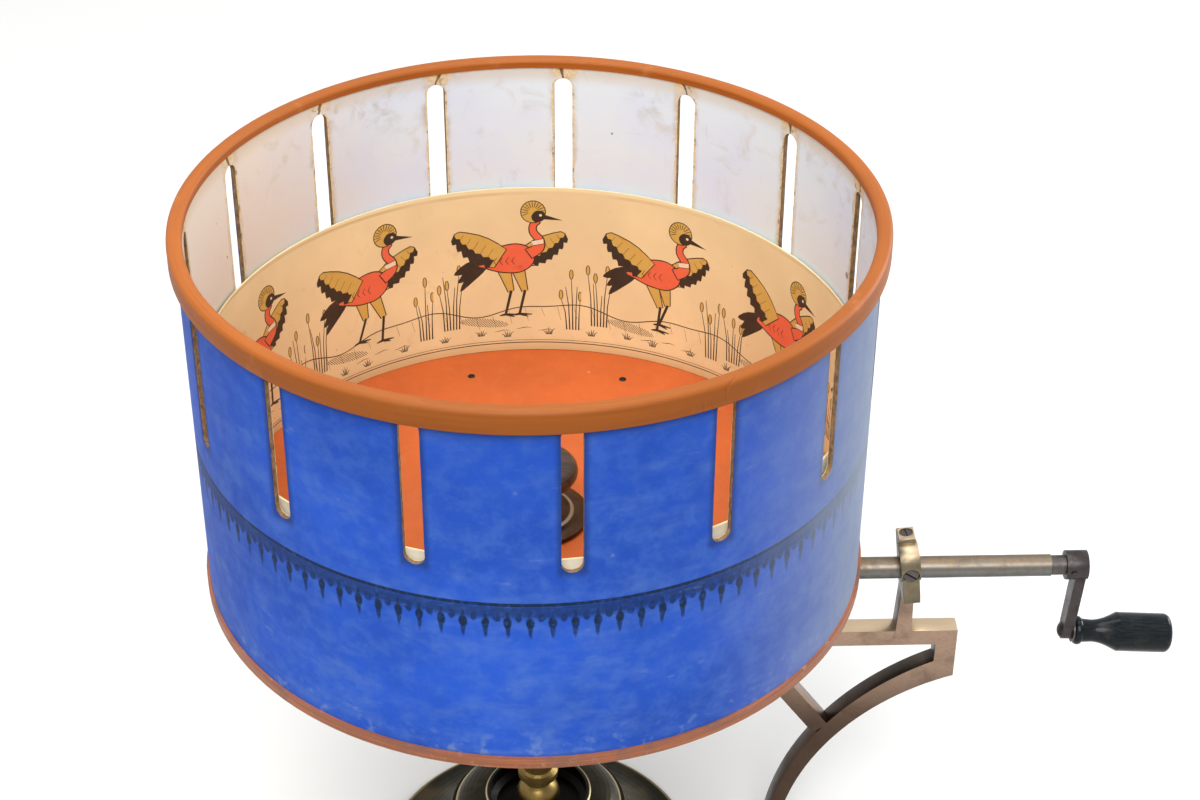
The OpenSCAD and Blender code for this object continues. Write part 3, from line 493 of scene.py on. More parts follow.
def aged_card(paint, strip):
    """Lays down the strip's bare card, with a painted highlight along its top and a painted shadow line
    under it.
    """
    broad = paint.noise(60, 3, 0.6)
    paint.tones(broad.rise(0.3, 0.72), strip.card, 0.93, 1.08)
    blotch = paint.noise(11, 5, 0.7, warp=0.7).rise(0.56, 0.8)
    paint.over(blotch * 0.3, (0.50, 0.29, 0.12))
    height = (paint.z - STRIP_LOW) / (STRIP_TOP - STRIP_LOW)
    paint.over(height.rise(0.1, 0.0) * 0.5, (0.50, 0.31, 0.13))
    # A thin darker line under the top edge: painted shade under the curled lip.
    shade_under_lip = height.rise(0.955, 0.966) * height.rise(0.982, 0.972) * broad.rise(0.35, 0.6)
    paint.over(shade_under_lip * 0.4, (0.42, 0.24, 0.09))
    # A pale band along the top edge: painted highlight on the curled lip.
    paint.over(height.rise(0.976, 0.986) * 0.75, (0.84, 0.72, 0.42))
    fleck = paint.cells(9).rise(0.06, 0.02) * paint.noise(30).rise(0.45, 0.6)
    paint.over(fleck * 0.6, (0.28, 0.14, 0.05))


def strip_back():
    """Back of the strip, seen at the foot of the near slots, made pale as painted light falling in
    through the slots.
    """
    paint = Paint("strip back")
    fibre = paint.noise(1.0, 4, 0.7)
    paint.ground(paint.noise(12, 4, 0.6).rise(0.4, 0.7), (0.84, 0.78, 0.66), (0.76, 0.66, 0.50))
    return paint.finish(0.62 + fibre * 0.12, fibre * 0.02, specular=0.4)


def ink(strip, name, colour, cover):
    """One printing ink, thin in places so that the card shows through."""
    paint = Paint(name)
    aged_card(paint, strip)
    grainy = paint.noise(0.7, 3, 0.75).rise(0.3, 0.75)
    patch = paint.noise(7, 4, 0.6).rise(0.35, 0.8)
    layer = cover - grainy * (1 - cover) - patch * (1 - cover) * 0.8
    uneven = paint.noise(3.5, 3, 0.6).rise(0.3, 0.75) * 0.3
    paint.over(layer, paint.blend(uneven, colour, shade(colour, 0.72)))
    return paint.finish(0.52, grainy * 0.012, specular=0.4)


# ---- Woods ----

def hoop_wood(drum):
    """Bent wood of the rim: faint grain along the hoop, handled smooth."""
    paint = Paint("hoop wood")
    grain = paint.round_grain(60, 1.1)
    broad = paint.round_grain(160, 9)
    paint.tones(broad.rise(0.3, 0.7), drum.hoop, 0.86, 1.12)
    paint.over(grain.rise(0.45, 0.72) * 0.3, shade(drum.hoop, 0.58))
    pores = paint.round_grain(14, 0.4).rise(0.62, 0.72)
    paint.over(pores * 0.28, (0.12, 0.04, 0.012))
    pale = paint.noise(22, 4, 0.65).rise(0.58, 0.8)
    paint.over(pale * 0.4, (0.56, 0.26, 0.10))
    dirt = paint.noise(6, 5, 0.75).rise(0.64, 0.8)
    paint.over(dirt * 0.6, (0.08, 0.03, 0.015))
    rough = 0.46 + grain * 0.14 + pale * 0.1
    return paint.finish(rough, grain * 0.03 - pores * 0.03, specular=0.25)


def lower_wood(drum):
    """Rust-coloured hoop round the lower edge, with chipped paint."""
    paint = Paint("lower hoop")
    grain = paint.round_grain(40, 1.0)
    chip = paint.noise(5, 5, 0.75).rise(0.56, 0.66)
    paint.tones(grain.rise(0.35, 0.7), drum.rust, 0.75, 1.25)
    paint.over(chip * 0.7, (0.42, 0.25, 0.15))
    paint.over(paint.noise(14).rise(0.5, 0.7) * 0.5, (0.15, 0.085, 0.07))
    return paint.finish(0.5 + chip * 0.2, grain * 0.05 - chip * 0.08)


def board_wood():
    """Bare board under the floor's paper."""
    paint = Paint("board wood")
    rings = paint.noise(3, 5, 0.7, paint.stretched(0.06, 1, 1))
    paint.ground(rings.rise(0.3, 0.7), (0.26, 0.14, 0.06), (0.48, 0.31, 0.16))
    return paint.finish(0.68, rings * 0.1)


def knob_wood():
    """Dark turned wood of the knob, with turning lines and a soft polish."""
    paint = Paint("knob wood")
    grain = paint.noise(2.2, 5, 0.65, paint.stretched(0.12, 1, 0.5))
    paint.ground(grain.rise(0.3, 0.72), (0.020, 0.010, 0.007), (0.062, 0.031, 0.019))
    radius = paint.radius()
    lines = paint.math("SINE", radius * 5.0)
    dust = paint.noise(6, 4, 0.7).rise(0.5, 0.8)
    paint.over(dust * 0.18, (0.16, 0.11, 0.08))
    return paint.finish(0.3 + dust * 0.2, grain * 0.04 + lines * 0.008, specular=0.3,
                        Coat_Weight=0.35, Coat_Roughness=0.12)


def ebony(crank):
    """Black turned handle: near-black grain under polish that is rubbed thin in patches."""
    paint = Paint("ebony")
    grain = paint.noise(0.9, 5, 0.65, paint.stretched(0.1, 1, 1))
    paint.tones(grain.rise(0.35, 0.75), crank, 0.6, 1.9)
    paler_part = paint.noise(9, 4, 0.65).rise(0.5, 0.78)
    paint.over(paler_part * 0.5, (0.042, 0.040, 0.036))
    return paint.finish(0.14 + paler_part * 0.12 + grain * 0.04, grain * 0.005, specular=0.16)


# ---- Metals ----

def worn_metal(name, colour, dull, size, rough, spread, brushed=(1, 1, 1), pit=0.3):
    """Starts a metal with duller patches, brushing along one way and fine pits.

    Returns its paint, roughness and height.
    """
    paint = Paint(name)
    brush = paint.noise(0.7, 3, 0.6, paint.stretched(*brushed))
    patch = paint.noise(size, 5, 0.68, warp=0.4).rise(0.42, 0.72)
    pits = paint.cells(2.4).rise(0.16, 0.06) * paint.noise(12).rise(0.45, 0.65) * pit
    paint.ground(patch * 0.75, colour, dull)
    paint.over(brush.rise(0.35, 0.75) * 0.35, shade(colour, 0.62))
    paint.over(pits, (0.03, 0.018, 0.01))
    return paint, rough + brush * spread + patch * 0.16, brush * 0.02 - pits * 0.08


def tube_steel(metal):
    """Steel tube: browned along its top, bright at the front, and darkened below with painted shade."""
    paint, rough, height = worn_metal(
        "tube steel", metal.steel, (0.13, 0.11, 0.085), 7, 0.24, 0.14, (1.5, 0.22, 0.22), 0.6)
    up = paint.z - (low_of("bearing_tube") + top_of("bearing_tube")) / 2
    rust = paint.noise(3.2, 5, 0.75, warp=0.5).rise(0.42, 0.66)
    paint.over(up.rise(1.5, 5.0) * (0.3 + rust * 0.6), (0.25, 0.165, 0.095))
    # Bluish dark below the tube's middle line: painted shade.
    paint.over(up.rise(0.5, -3.5) * 0.8, (0.046, 0.054, 0.068))
    return paint.finish(rough + up.rise(2, 5) * 0.15, height, metal=1.0)


def facing(paint):
    """The X and Z parts of the surface's normal."""
    normal = paint.node("ShaderNodeNewGeometry").outputs["Normal"]
    split = paint.node("ShaderNodeSeparateXYZ", {}, {"Vector": normal})
    return Num(paint, split.outputs["X"]), Num(paint, split.outputs["Z"])


def bracket_steel(name, colour):
    """Satin steel, filed along its length; painted shade darkens the sides away from the crank, the faces
    turned down and the lower end, and a painted highlight lightens the faces turned up.
    """
    paint, rough, height = worn_metal(
        name, colour, shade(colour, 0.55), 16, 0.24, 0.16, (0.4, 0.4, 1), 0.35)
    side, up = facing(paint)
    # Near-black on faces turned away from the crank and downwards: painted shade.
    skin = side.rise(-0.1, -0.55).most(up.rise(0.0, -0.8) * 0.8)
    paint.over(skin * 0.93, (0.022, 0.023, 0.022))
    # Pale cream on faces turned up: painted highlight.
    paint.over(up.rise(0.6, 0.95) * side.rise(-0.35, -0.1) * 0.85, (0.63, 0.485, 0.325))
    # Dark brown towards the lower end of the leg: painted shade under the drum.
    paint.over(paint.z.rise(128, 74) * 0.88, (0.052, 0.030, 0.021))
    return paint.finish(rough, height, metal=1.0)


def dark_steel(metal, name="dark steel", shine=0.32, tone=1.0):
    """Browned steel of the crank, collar and screws."""
    colour = shade(metal.dark, tone)
    paint, rough, height = worn_metal(
        name, colour, shade(colour, 0.55), 6, shine, 0.14, (1, 1, 0.4), 0.5)
    rubbed = paint.noise(2.6, 4, 0.6).rise(0.6, 0.8)
    paint.over(rubbed * 0.4, shade((0.30, 0.26, 0.22), tone))
    return paint.finish(rough, height, metal=1.0)


def cup_bronze():
    """Dark bronze cup, painted black in its well as shade, with painted highlights on its two edges."""
    paint, rough, height = worn_metal(
        "cup bronze", (0.030, 0.026, 0.016), (0.014, 0.013, 0.010), 9, 0.28, 0.12, pit=0.3)
    radius = paint.radius()
    warm = paint.noise(22, 3, 0.6).rise(0.5, 0.7)
    paint.over(warm * 0.5, (0.085, 0.058, 0.027))
    # Near-black inside the well: painted shade.
    paint.over(radius.rise(24.8, 23.5), (0.007, 0.0065, 0.006))
    # Thin pale rings on the two edges: painted highlights.
    pale_marks = abs(radius - 40.6).rise(0.7, 0.25).most(abs(radius - 25.6).rise(0.6, 0.2))
    paint.over(pale_marks * 0.8, (0.62, 0.50, 0.30))
    return paint.finish(rough, height, metal=0.95, specular=0.1)


def brass(metal, name="aged brass", tarnish=0.7, shine=0.26, tone=1.0):
    """Brass with brown tarnish."""
    colour = shade(metal.brass, tone)
    paint, rough, height = worn_metal(
        name, colour, mixed(colour, (0.10, 0.065, 0.03), tarnish), 10, shine, 0.12, pit=0.35)
    return paint.finish(rough, height, metal=1.0)


def bronze(metal):
    """Dark bronze of the hub's disc, turned in fine rings."""
    paint, rough, height = worn_metal(
        "hub bronze", metal.bronze, (0.035, 0.020, 0.013), 8, 0.3, 0.12, pit=0.4)
    radius = paint.radius()
    # A pale ring at 17 mm: painted highlight on the disc's bead.
    paler_part = abs(radius - 17).rise(1.1, 0.4)
    paint.over(paler_part * 0.75, (0.50, 0.43, 0.34))
    return paint.finish(rough, height + paint.math("SINE", radius * 6) * 0.008, metal=1.0)


def patina(metal):
    """Green-brown skin of the spun foot, rubbed to metal on its rings."""
    paint, rough, height = worn_metal(
        "foot patina", metal.patina, (0.019, 0.017, 0.010), 14, 0.28, 0.12, pit=0.3)
    bloom = paint.noise(8, 5, 0.7, warp=0.8).rise(0.5, 0.75)
    paint.over(bloom * 0.3, (0.038, 0.044, 0.029))
    paint.over(paint.noise(45, 3, 0.6).rise(0.44, 0.62) * 0.6, (0.075, 0.052, 0.024))
    radius = paint.radius()
    pale_marks = abs(radius - 76).rise(1.4, 0.3).most(abs(radius - 44).rise(1.6, 0.3))
    paint.over(pale_marks * 0.6, (0.32, 0.24, 0.13))
    return paint.finish(rough, height, metal=0.9, specular=0.1)


def rough_iron():
    """Cast ballast."""
    paint = Paint("cast iron")
    lumps = paint.noise(2.2, 5, 0.7)
    paint.ground(lumps.rise(0.3, 0.7), (0.03, 0.03, 0.03), (0.10, 0.09, 0.085))
    return paint.finish(0.7, lumps * 0.3, metal=0.6)


def felt():
    """Green felt under the foot."""
    paint = Paint("felt")
    hair = paint.noise(0.8, 4, 0.8)
    paint.ground(hair.rise(0.3, 0.7), (0.02, 0.075, 0.035), (0.06, 0.16, 0.085))
    return paint.finish(0.95, hair * 0.3, Sheen_Weight=0.3)


def pale_floor(stage):
    """Plain floor that keeps the object's shadow and turns white far from it."""
    paint = Paint("floor")
    seen = seen_rays(paint)
    away = paint.radius().rise(700, 1900)
    paint.ground(seen, tuple(stage.table), tuple(stage.floor))
    paint.over(away, BLACK)
    glow = paint.blend(away * seen, BLACK, BACKDROP)
    return paint.finish(0.75, specular=0.1, Emission_Color=glow, Emission_Strength=1.0)


# ---- Mesh tools ----

def smoothed(mesh, angle=SMOOTH_ANGLE):
    """Smooth shading, with edges sharper than angle kept hard."""
    mesh.shade_smooth()
    mesh.set_sharp_from_angle(angle=angle)


def piece(name, mesh, body, materials, nodes):
    """Puts a finished mesh in the scene as a piece that stands for CAD nodes."""
    for material in materials:
        mesh.materials.append(material)
    made = bpy.data.objects.new(name, mesh)
    bpy.context.scene.collection.objects.link(made)
    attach(made, body)
    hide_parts(*nodes)
    return made


def dress(material, *nodes):
    """Gives CAD nodes a material."""
    for name in nodes:
        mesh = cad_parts[name].data
        mesh.materials.clear()
        mesh.materials.append(material)


def eased(node, body, material, width, angle=28):
    """A copy of a CAD node with its edges rounded, which stands for the node."""
    work = bmesh.new()
    work.from_mesh(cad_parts[node].data)
    bmesh.ops.remove_doubles(work, verts=work.verts, dist=2e-6)
    bmesh.ops.dissolve_limit(work, angle_limit=math.radians(0.6), verts=work.verts, edges=work.edges)
    sharp = [e for e in work.edges if e.is_manifold and e.calc_face_angle() > math.radians(angle)]
    bmesh.ops.bevel(work, geom=sharp, offset=width * MM, segments=2, profile=0.5, affect="EDGES",
                    clamp_overlap=True)
    bmesh.ops.remove_doubles(work, verts=work.verts, dist=1e-6)
    bmesh.ops.triangulate(work, faces=work.faces)
    mesh = bpy.data.meshes.new(node + "_eased")
    work.to_mesh(mesh)
    work.free()
    smoothed(mesh)
    return piece(node + "_eased", mesh, body, [material], [node])


def hoop_mesh(name, section, angles, shift):
    """A closed hoop: section is a list of (radius, height) in mm, shift(angle, index) moves a point."""
    points, faces = [], []
    count = len(section)
    for angle in angles:
        for index, (radius, height) in enumerate(section):
            out, up = shift(angle, index)
            turn = math.radians(angle)
            radius_here = (radius + out) * MM
            points.append((radius_here * math.cos(turn), radius_here * math.sin(turn),
                           (height + up) * MM))
    for ring in range(len(angles)):
        following = (ring + 1) % len(angles)
        for index in range(count):
            after = (index + 1) % count
            faces.append((ring * count + index, following * count + index,
                          following * count + after, ring * count + after))
    mesh = bpy.data.meshes.new(name)
    mesh.from_pydata(points, [], faces)
    fix_normals(mesh)
    smoothed(mesh, math.radians(50))
    return mesh


def fix_normals(mesh):
    """Turns the faces of a closed mesh outwards."""
    work = bmesh.new()
    work.from_mesh(mesh)
    bmesh.ops.recalc_face_normals(work, faces=work.faces)
    work.to_mesh(mesh)
    work.free()


# ---- Flat drawings that are bent round the drum ----

def spline(points, per=5, closed=True):
    """A smooth curve through points."""
    count = len(points)
    out = []
    for i in range(count if closed else count - 1):
        near = [points[(i + k) % count] if closed else points[max(0, min(count - 1, i + k))]
                for k in (-1, 0, 1, 2)]
        for step in range(per):
            t = step / per
            out.append(tuple(0.5 * (2 * b + (c - a) * t + (2 * a - 5 * b + 4 * c - d) * t * t
                                    + (3 * b - a - 3 * c + d) * t ** 3)
                             for a, b, c, d in zip(*near)))
    if not closed:
        out.append(tuple(points[-1]))
    return out


def beside(before, after, width):
    """Half a width, square to the way from one point to another."""
    (ax, ay), (bx, by) = before, after
    length = math.hypot(bx - ax, by - ay) or 1
    return -(by - ay) / length * width / 2, (bx - ax) / length * width / 2


def stroke(points, start, middle, end):
    """The outline of a pen stroke along points, with its widths at the start, middle and end."""
    left, right = [], []
    last = len(points) - 1
    for i, (x, y) in enumerate(points):
        t = i / last
        width = (start + (middle - start) * 2 * t) if t < 0.5 else (middle + (end - middle) * (2 * t - 1))
        nx, ny = beside(points[max(0, i - 1)], points[min(last, i + 1)], width)
        left.append((x + nx, y + ny))
        right.append((x - nx, y - ny))
    return left + right[::-1]


def pen(points, start, middle, end, colour=DARK):
    """The shape of one pen stroke."""
    return [stroke(points, start, middle, end)], colour


def rim_line(outline, width):
    """Two loops that bound a line of some width along a closed outline."""
    outer, inner = [], []
    count = len(outline)
    for i, (x, y) in enumerate(outline):
        nx, ny = beside(outline[i - 1], outline[(i + 1) % count], width)
        outer.append((x + nx, y + ny))
        inner.append((x - nx, y - ny))
    return [outer, inner]


def circle(x, y, radius, count=14, flat=1.0):
    return [(x + radius * math.cos(2 * math.pi * i / count),
             y + radius * flat * math.sin(2 * math.pi * i / count)) for i in range(count)]


def within(loops, points):
    """Which points are inside loops, by the even-odd rule."""
    x, y = points[:, 0], points[:, 1]
    hit = np.zeros(len(points), bool)
    for loop in loops:
        first = np.array(loop)
        second = np.roll(first, -1, axis=0)
        for (x1, y1), (x2, y2) in zip(first, second):
            if y1 != y2:
                crossed = (y1 > y) != (y2 > y)
                hit ^= crossed & (x < (x2 - x1) * (y - y1) / (y2 - y1) + x1)
    return hit


def cut_panel(left, right, low, high, step, shapes):
    """Cuts a flat panel along the loops of shapes; returns points, triangles and their inks.

    A shape is (loops, ink), later ones lie on top, and the ink HOLE cuts through.
    """
    columns = max(1, round((right - left) / step[0]))
    rows = max(1, round((high - low) / step[1]))
    points = [Vector((left + (right - left) * i / columns, low + (high - low) * j / rows))
              for j in range(rows + 1) for i in range(columns + 1)]
    across = columns + 1
    edges = [(i + row, i + row + 1) for i in range(columns) for row in (0, rows * across)]
    edges += [(j * across + end, (j + 1) * across + end) for j in range(rows) for end in (0, columns)]
    for loops, _ in shapes:
        for loop in loops:
            start = len(points)
            points += [Vector(p) for p in loop]
            edges += [(start + i, start + (i + 1) % len(loop)) for i in range(len(loop))]
    found, _, faces, *_ = delaunay_2d_cdt(points, edges, [], 0, 1e-4)
    flat = np.array([tuple(p) for p in found])
    faces = np.array([f for f in faces if len(f) == 3])
    centres = flat[faces].mean(axis=1)
    inks = np.zeros(len(faces), int)
    for loops, colour in shapes:
        inks[within(loops, centres)] = colour
    across_in = (centres[:, 0] > left) & (centres[:, 0] < right)
    upright_in = (centres[:, 1] > low) & (centres[:, 1] < high)
    keep = across_in & upright_in & (inks != HOLE)
    return flat, faces[keep], inks[keep]


def bend_sheet(name, panels, face_r, back_r, back_ink, edge_ink, wave=None):
    """Bends flat panels round the drum and gives them a back and edges.

    face_r and back_r are the radii of the printed face and of the back; wave(angle, height) moves
    both outwards by some mm.
    """
    work = bmesh.new()
    for points, faces, inks in panels:
        verts = [work.verts.new((face_r * math.cos(x / face_r), face_r * math.sin(x / face_r), z))
                 for x, z in points]
        for corners, colour in zip(faces, inks):
            face = work.faces.new([verts[i] for i in corners])
            face.material_index = int(colour)
    bmesh.ops.remove_doubles(work, verts=work.verts, dist=2e-3)
    loose = [v for v in work.verts if not v.link_faces]
    bmesh.ops.delete(work, geom=loose, context="VERTS")
    work.verts.ensure_lookup_table()
    work.verts.index_update()
    count = len(work.verts)
    front = [tuple(v.co) for v in work.verts]
    back = [(x * back_r / face_r, y * back_r / face_r, z) for x, y, z in front]
    corners = [[v.index for v in f.verts] for f in work.faces]
    colours = [f.material_index for f in work.faces]
    faces = corners + [[i + count for i in reversed(f)] for f in corners]
    colours += [back_ink] * len(corners)
    for edge in work.edges:
        if len(edge.link_faces) == 1:
            a, b = (loop.vert.index for loop in (edge.link_loops[0], edge.link_loops[0].link_loop_next))
            faces.append([b, a, a + count, b + count])
            colours.append(edge_ink)
    work.free()
    moved = []
    for x, y, z in front + back:
        radius = math.hypot(x, y)
        out = wave(math.atan2(y, x), z) if wave else 0
        scale = (radius + out) / radius * MM
        moved.append((x * scale, y * scale, z * MM))
    mesh = bpy.data.meshes.new(name)
    mesh.from_pydata(moved, [], faces)
    mesh.polygons.foreach_set("material_index", colours)
    fix_normals(mesh)
    smoothed(mesh, math.radians(40))
    return mesh


def slot_outline(middle, drum, rough, chance):
    """The outline of a viewing slot about x = middle, its edges uneven by rough mm."""
    half = drum.slot_width / MM / 2
    low = WALL_LOW + drum.slot_rise / MM + half
    high = low + drum.slot_length / MM - 2 * half
    steps = 16
    points = []
    for side, start, end, turn in ((1, low, high, 0), (-1, high, low, math.pi)):
        shares = [i / steps for i in range(steps)]
        points += [(middle + side * half, start + (end - start) * share) for share in shares]
        points += [(middle + half * math.cos(turn + math.pi * share),
                    end + half * math.sin(turn + math.pi * share)) for share in shares]
    return [(x + math.copysign(chance.uniform(0, rough), x - middle),
             z + chance.uniform(-rough, rough) / 2) for x, z in points]


def slot_places(drum, radius):
    """The slots' places along the turn, in mm, from 0 to the whole turn."""
    whole = 2 * math.pi * radius
    return sorted((math.radians(drum.slot_phase - i * 360 / drum.slot_count) * radius) % whole
                  for i in range(drum.slot_count))


def wall_panels(drum, radius, rough, extra=None):
    """Cuts one paper layer of the wall into a panel for each slot; extra adds shapes at a slot."""
    chance = random.Random(SEED)
    whole = 2 * math.pi * radius
    pitch = whole / drum.slot_count
    panels = []
    for middle in slot_places(drum, radius):
        left = middle - pitch / 2
        shapes = extra(middle, chance) if extra else []
        shapes += [([slot_outline(middle, drum, rough, chance)], HOLE)]
        panels.append(cut_panel(left, left + pitch, WALL_LOW, WALL_TOP, (4.0, 8.5), shapes))
    return panels


# ---- The dancing crane of the strip ----

def wing_shapes(root, along, across, feathers):
    """A wing from its root: along reaches the tip, across the trailing edge; black flight feathers."""
    def at(u, v):
        return (root[0] + along[0] * u + across[0] * v, root[1] + along[1] * u + across[1] * v)

    lead = [at(u, -0.16 * math.sin(math.pi * u) + 0.18 * u) for u in (0, 0.2, 0.4, 0.6, 0.8, 0.95)]
    trail = []
    inner = []
    for i in range(feathers):
        u = 1 - 0.94 * i / feathers
        width = 0.94 / feathers
        reach = 0.42 + 0.58 * math.sin(math.pi * (0.12 + 0.62 * i / feathers))
        for share, more in ((0.15, -0.05), (0.5, 0.06), (0.85, -0.03)):
            trail.append(at(u - width * share, reach + more))
            inner.append(at(u - width * share, (reach + more) * 0.62))
    whole = lead + [at(1, 0.3)] + trail + [at(0, 0.85)]
    tips = [at(1, 0.24)] + trail + inner[::-1]
    ribs = [stroke([at(1 - 0.94 * (i + 1) / feathers, 0.2), at(1 - 0.94 * (i + 1) / feathers, 0.58)],
                   0.2, 0.35, 0.2) for i in range(feathers - 1)]
    return whole, tips, ribs


def crane_shapes(x, y, scale, turn):
    """A dancing crane that stands at x, y; turn is its place in the dance, in radians."""
    def put(points):
        return [(x + px * scale, y + py * scale) for px, py in points]

    shapes = []

    def fill(outline, colour, line=0.55):
        slipped = [(px + 0.22, py - 0.18) for px, py in put(outline)]
        shapes.append(([slipped], colour))
        if line:
            shapes.append((rim_line(put(outline), line), DARK))

    def line(points, *widths):
        shapes.append(pen(put(points), *widths))

    def wing(root, length, angle, side):
        along = (side * math.cos(angle) * length, math.sin(angle) * length)
        across = (side * math.sin(angle) * length * 0.5, -math.cos(angle) * length * 0.5)
        whole, tips, ribs = wing_shapes(root, along, across, 6)
        fill(whole, MUSTARD)
        shapes.extend(([put(outline)], DARK) for outline in [tips] + ribs)

    def leg(hip, stride):
        lift = max(0, stride)
        knee = (hip - 4 + 3 * stride, 14 + 4 * lift)
        foot = (hip - 1 + 6 * stride, 7 * lift)
        thigh = [(hip - 3.6, 29), (hip + 3.6, 28), (knee[0] + 1.6, knee[1] - 1), (knee[0] - 1.4, knee[1])]
        fill(thigh, MUSTARD)
        line([knee, foot], 1.4, 1.2, 1.3)
        for reach, rise in ((-6.5, -0.4), (-4.5, -1.6), (3.2, -0.6)):
            line([foot, (foot[0] + reach / 2, foot[1] + rise / 2), (foot[0] + reach, foot[1] + rise)],
                 1.3, 1.1, 0.5)

    beat = math.cos(turn)
    stride = math.sin(turn)
    wing((-4, 37), 25, math.radians(58 + 26 * beat), -1)
    leg(4, -stride)
    for end in ((27, 21), (29, 26), (26, 16)):
        plume = [(12, 34), ((12 + end[0]) / 2 + 2, (33 + end[1]) / 2 + 2.5), end,
                 ((12 + end[0]) / 2, (29 + end[1]) / 2 - 1.5), (12, 28)]
        shapes.append(([put(spline(plume, 3))], DARK))
    leg(-3, stride)
    body = spline([(-12, 33), (-9.5, 38.5), (-3, 41), (6, 39.5), (13, 35), (17, 30), (12, 27.5), (5, 25),
                   (-4, 24.5), (-10, 28)], 4)
    fill(body, RED, 0.65)
    neck = spline([(-9, 35), (-14, 38.5), (-14.5, 43), (-11.5, 47.5), (-11.5, 51.5), (-14, 54)], 5, False)
    fill(stroke(neck, 6.5, 4.0, 3.4), RED, 0.6)
    fill([(-16.8, 40.8), (-11.2, 39.8), (-10.4, 42.4), (-16.6, 43.8)], CREAM, 0.4)
    fill(circle(-11.5, 59.0, 6.2, 18), MUSTARD, 0.5)
    for i in range(13):
        angle = math.radians(-20 + 17.5 * i)
        ray = [(-11.5 + r * math.cos(angle), 59.0 + r * math.sin(angle)) for r in (2.4, 4.2, 6.0)]
        line(ray, 0.25, 0.4, 0.2)
    fill(spline([(-10.8, 56.5), (-13, 59.6), (-16.6, 59.4), (-18, 56.8), (-16, 53.9), (-12.4, 53.5)], 4),
         DARK, 0)
    fill([(-17.2, 57.6), (-26.5, 54.6), (-17, 54.9)], DARK, 0)
    fill(circle(-15.4, 57.2, 0.75, 8), CREAM, 0)
    wing((2, 38), 28, math.radians(60 + 28 * beat), 1)
    for i in range(4):
        line([(-2 + 3 * i, 33.5), (-0.5 + 3 * i, 31.2), (-2 + 3 * i, 29)], 0.2, 0.45, 0.2)
    return shapes


def hill_height(share):
    """Height of the far hills above the strip's lower edge, the same at both ends of a picture."""
    turn = 2 * math.pi * share
    return 24 + 2.6 * math.sin(turn + 0.6) + 1.2 * math.sin(2 * turn + 2.1)


def reed_shapes(x, y, chance):
    """A clump of reeds with brown heads."""
    shapes = []
    for i in range(6):
        base = x + (i - 2.5) * 1.5
        tall = 24 + chance.uniform(-7, 9)
        lean = (i - 2.5) * 1.1 + chance.uniform(-1, 1)
        stem = [(base, y), (base + lean * 0.25, y + tall * 0.55), (base + lean, y + tall)]
        shapes.append(pen(stem, 0.7, 0.5, 0.3))
        if i % 2:
            head = circle(base + lean, y + tall + 2.2, 0.95, 10, 2.9)
            shapes += [([head], MUSTARD), (rim_line(head, 0.4), DARK)]
    return shapes


def ground_shapes(left, width, low, crane_x, chance):
    """Hills, reeds, turf, a hatched shadow and the lower lines of one picture."""
    steps = 24
    hills = [(left + width * i / steps, low + hill_height(i / steps)) for i in range(steps + 1)]
    shapes = [pen(hills, 0.55, 0.55, 0.55)]
    for i in range(9):
        share = 0.05 + 0.11 * i
        top = (left + width * share, low + hill_height(share) - 0.7)
        foot = (top[0] - 1.6, top[1] - 4 - chance.uniform(0, 4))
        shapes.append(pen([top, foot], 0.15, 0.45, 0.15))
    for rise, thick in ((4.2, 0.5), (5.6, 0.25)):
        line = [(left + width * i / steps, low + rise) for i in range(steps + 1)]
        shapes.append(pen(line, thick, thick, thick))
    shapes += reed_shapes(left + 3.5, low + 12, chance)
    shapes += reed_shapes(left + width - 9, low + 15, chance)
    for place in (0.22, 0.5, 0.68, 0.93):
        x = left + width * place
        y = low + 8 + chance.uniform(-1, 2)
        for blade in range(5):
            lean = (blade - 2) * 0.9
            tall = 3.4 + chance.uniform(-0.6, 1.4) - abs(blade - 2) * 0.5
            root = x + (blade - 2) * 0.6
            curve = [(root, y), (root + lean * 0.3, y + tall * 0.6), (root + lean, y + tall)]
            shapes.append(pen(curve, 0.6, 0.45, 0.15))
    lines = 19
    for i in range(lines):
        across = 2 * (i + 0.5) / lines - 1
        reach = math.sqrt(1 - across * across) * 2.9
        x = crane_x + 14 + across * 12
        y = low + 17 + across * 1.6
        hatch = [(x - reach * 0.8, y - reach), (x + reach * 0.8, y + reach)]
        shapes.append(pen(hatch, 0.3, 0.75, 0.3))
    for k in range(3):
        wave = [(left + 14 + 11 * k + i * 1.5, low + 11.5 + 1.2 * (k % 2) + 0.4 * math.sin(i))
                for i in range(6)]
        shapes.append(pen(wave, 0.15, 0.4, 0.15))
    return shapes


def strip_mesh(strip, face_r):
    """Draws one picture for each phase and bends the whole strip round the drum."""
    chance = random.Random(SEED)
    low, high = STRIP_LOW, STRIP_TOP
    gap = 0.8 / face_r
    start = math.radians(-100) + gap / 2
    whole = (2 * math.pi - gap) * face_r
    width = whole / strip.phases
    panels = []
    for i in range(strip.phases):
        left = start * face_r + i * width
        turn = 2 * math.pi * i / strip.phases
        x = left + width * 0.47
        y = low + 17 + strip.bob / MM * max(0, math.cos(2 * turn))
        shapes = ground_shapes(left, width, low, x, chance)
        shapes += crane_shapes(x, y, strip.bird_scale, turn)
        panels.append(cut_panel(left, left + width, low, high, (3.0, 6.0), shapes))

    def wave(angle, z):
        share = (z - low) / (high - low)
        return 0.35 * math.sin(3 * angle + 0.4) * share + 0.18 * math.sin(7 * angle) + 0.25 * share

    mesh = bend_sheet("picture_strip_card", panels, face_r, STRIP_R, STRIP_BACK, CARD_INK, wave)
    for vertex in mesh.vertices:
        near = (1 - math.sin(math.atan2(vertex.co.y, vertex.co.x))) / 2
        share = (vertex.co.z / MM - low) / (high - low)
        vertex.co.z -= strip.droop * near * share
    return mesh


# ---- Nails ----

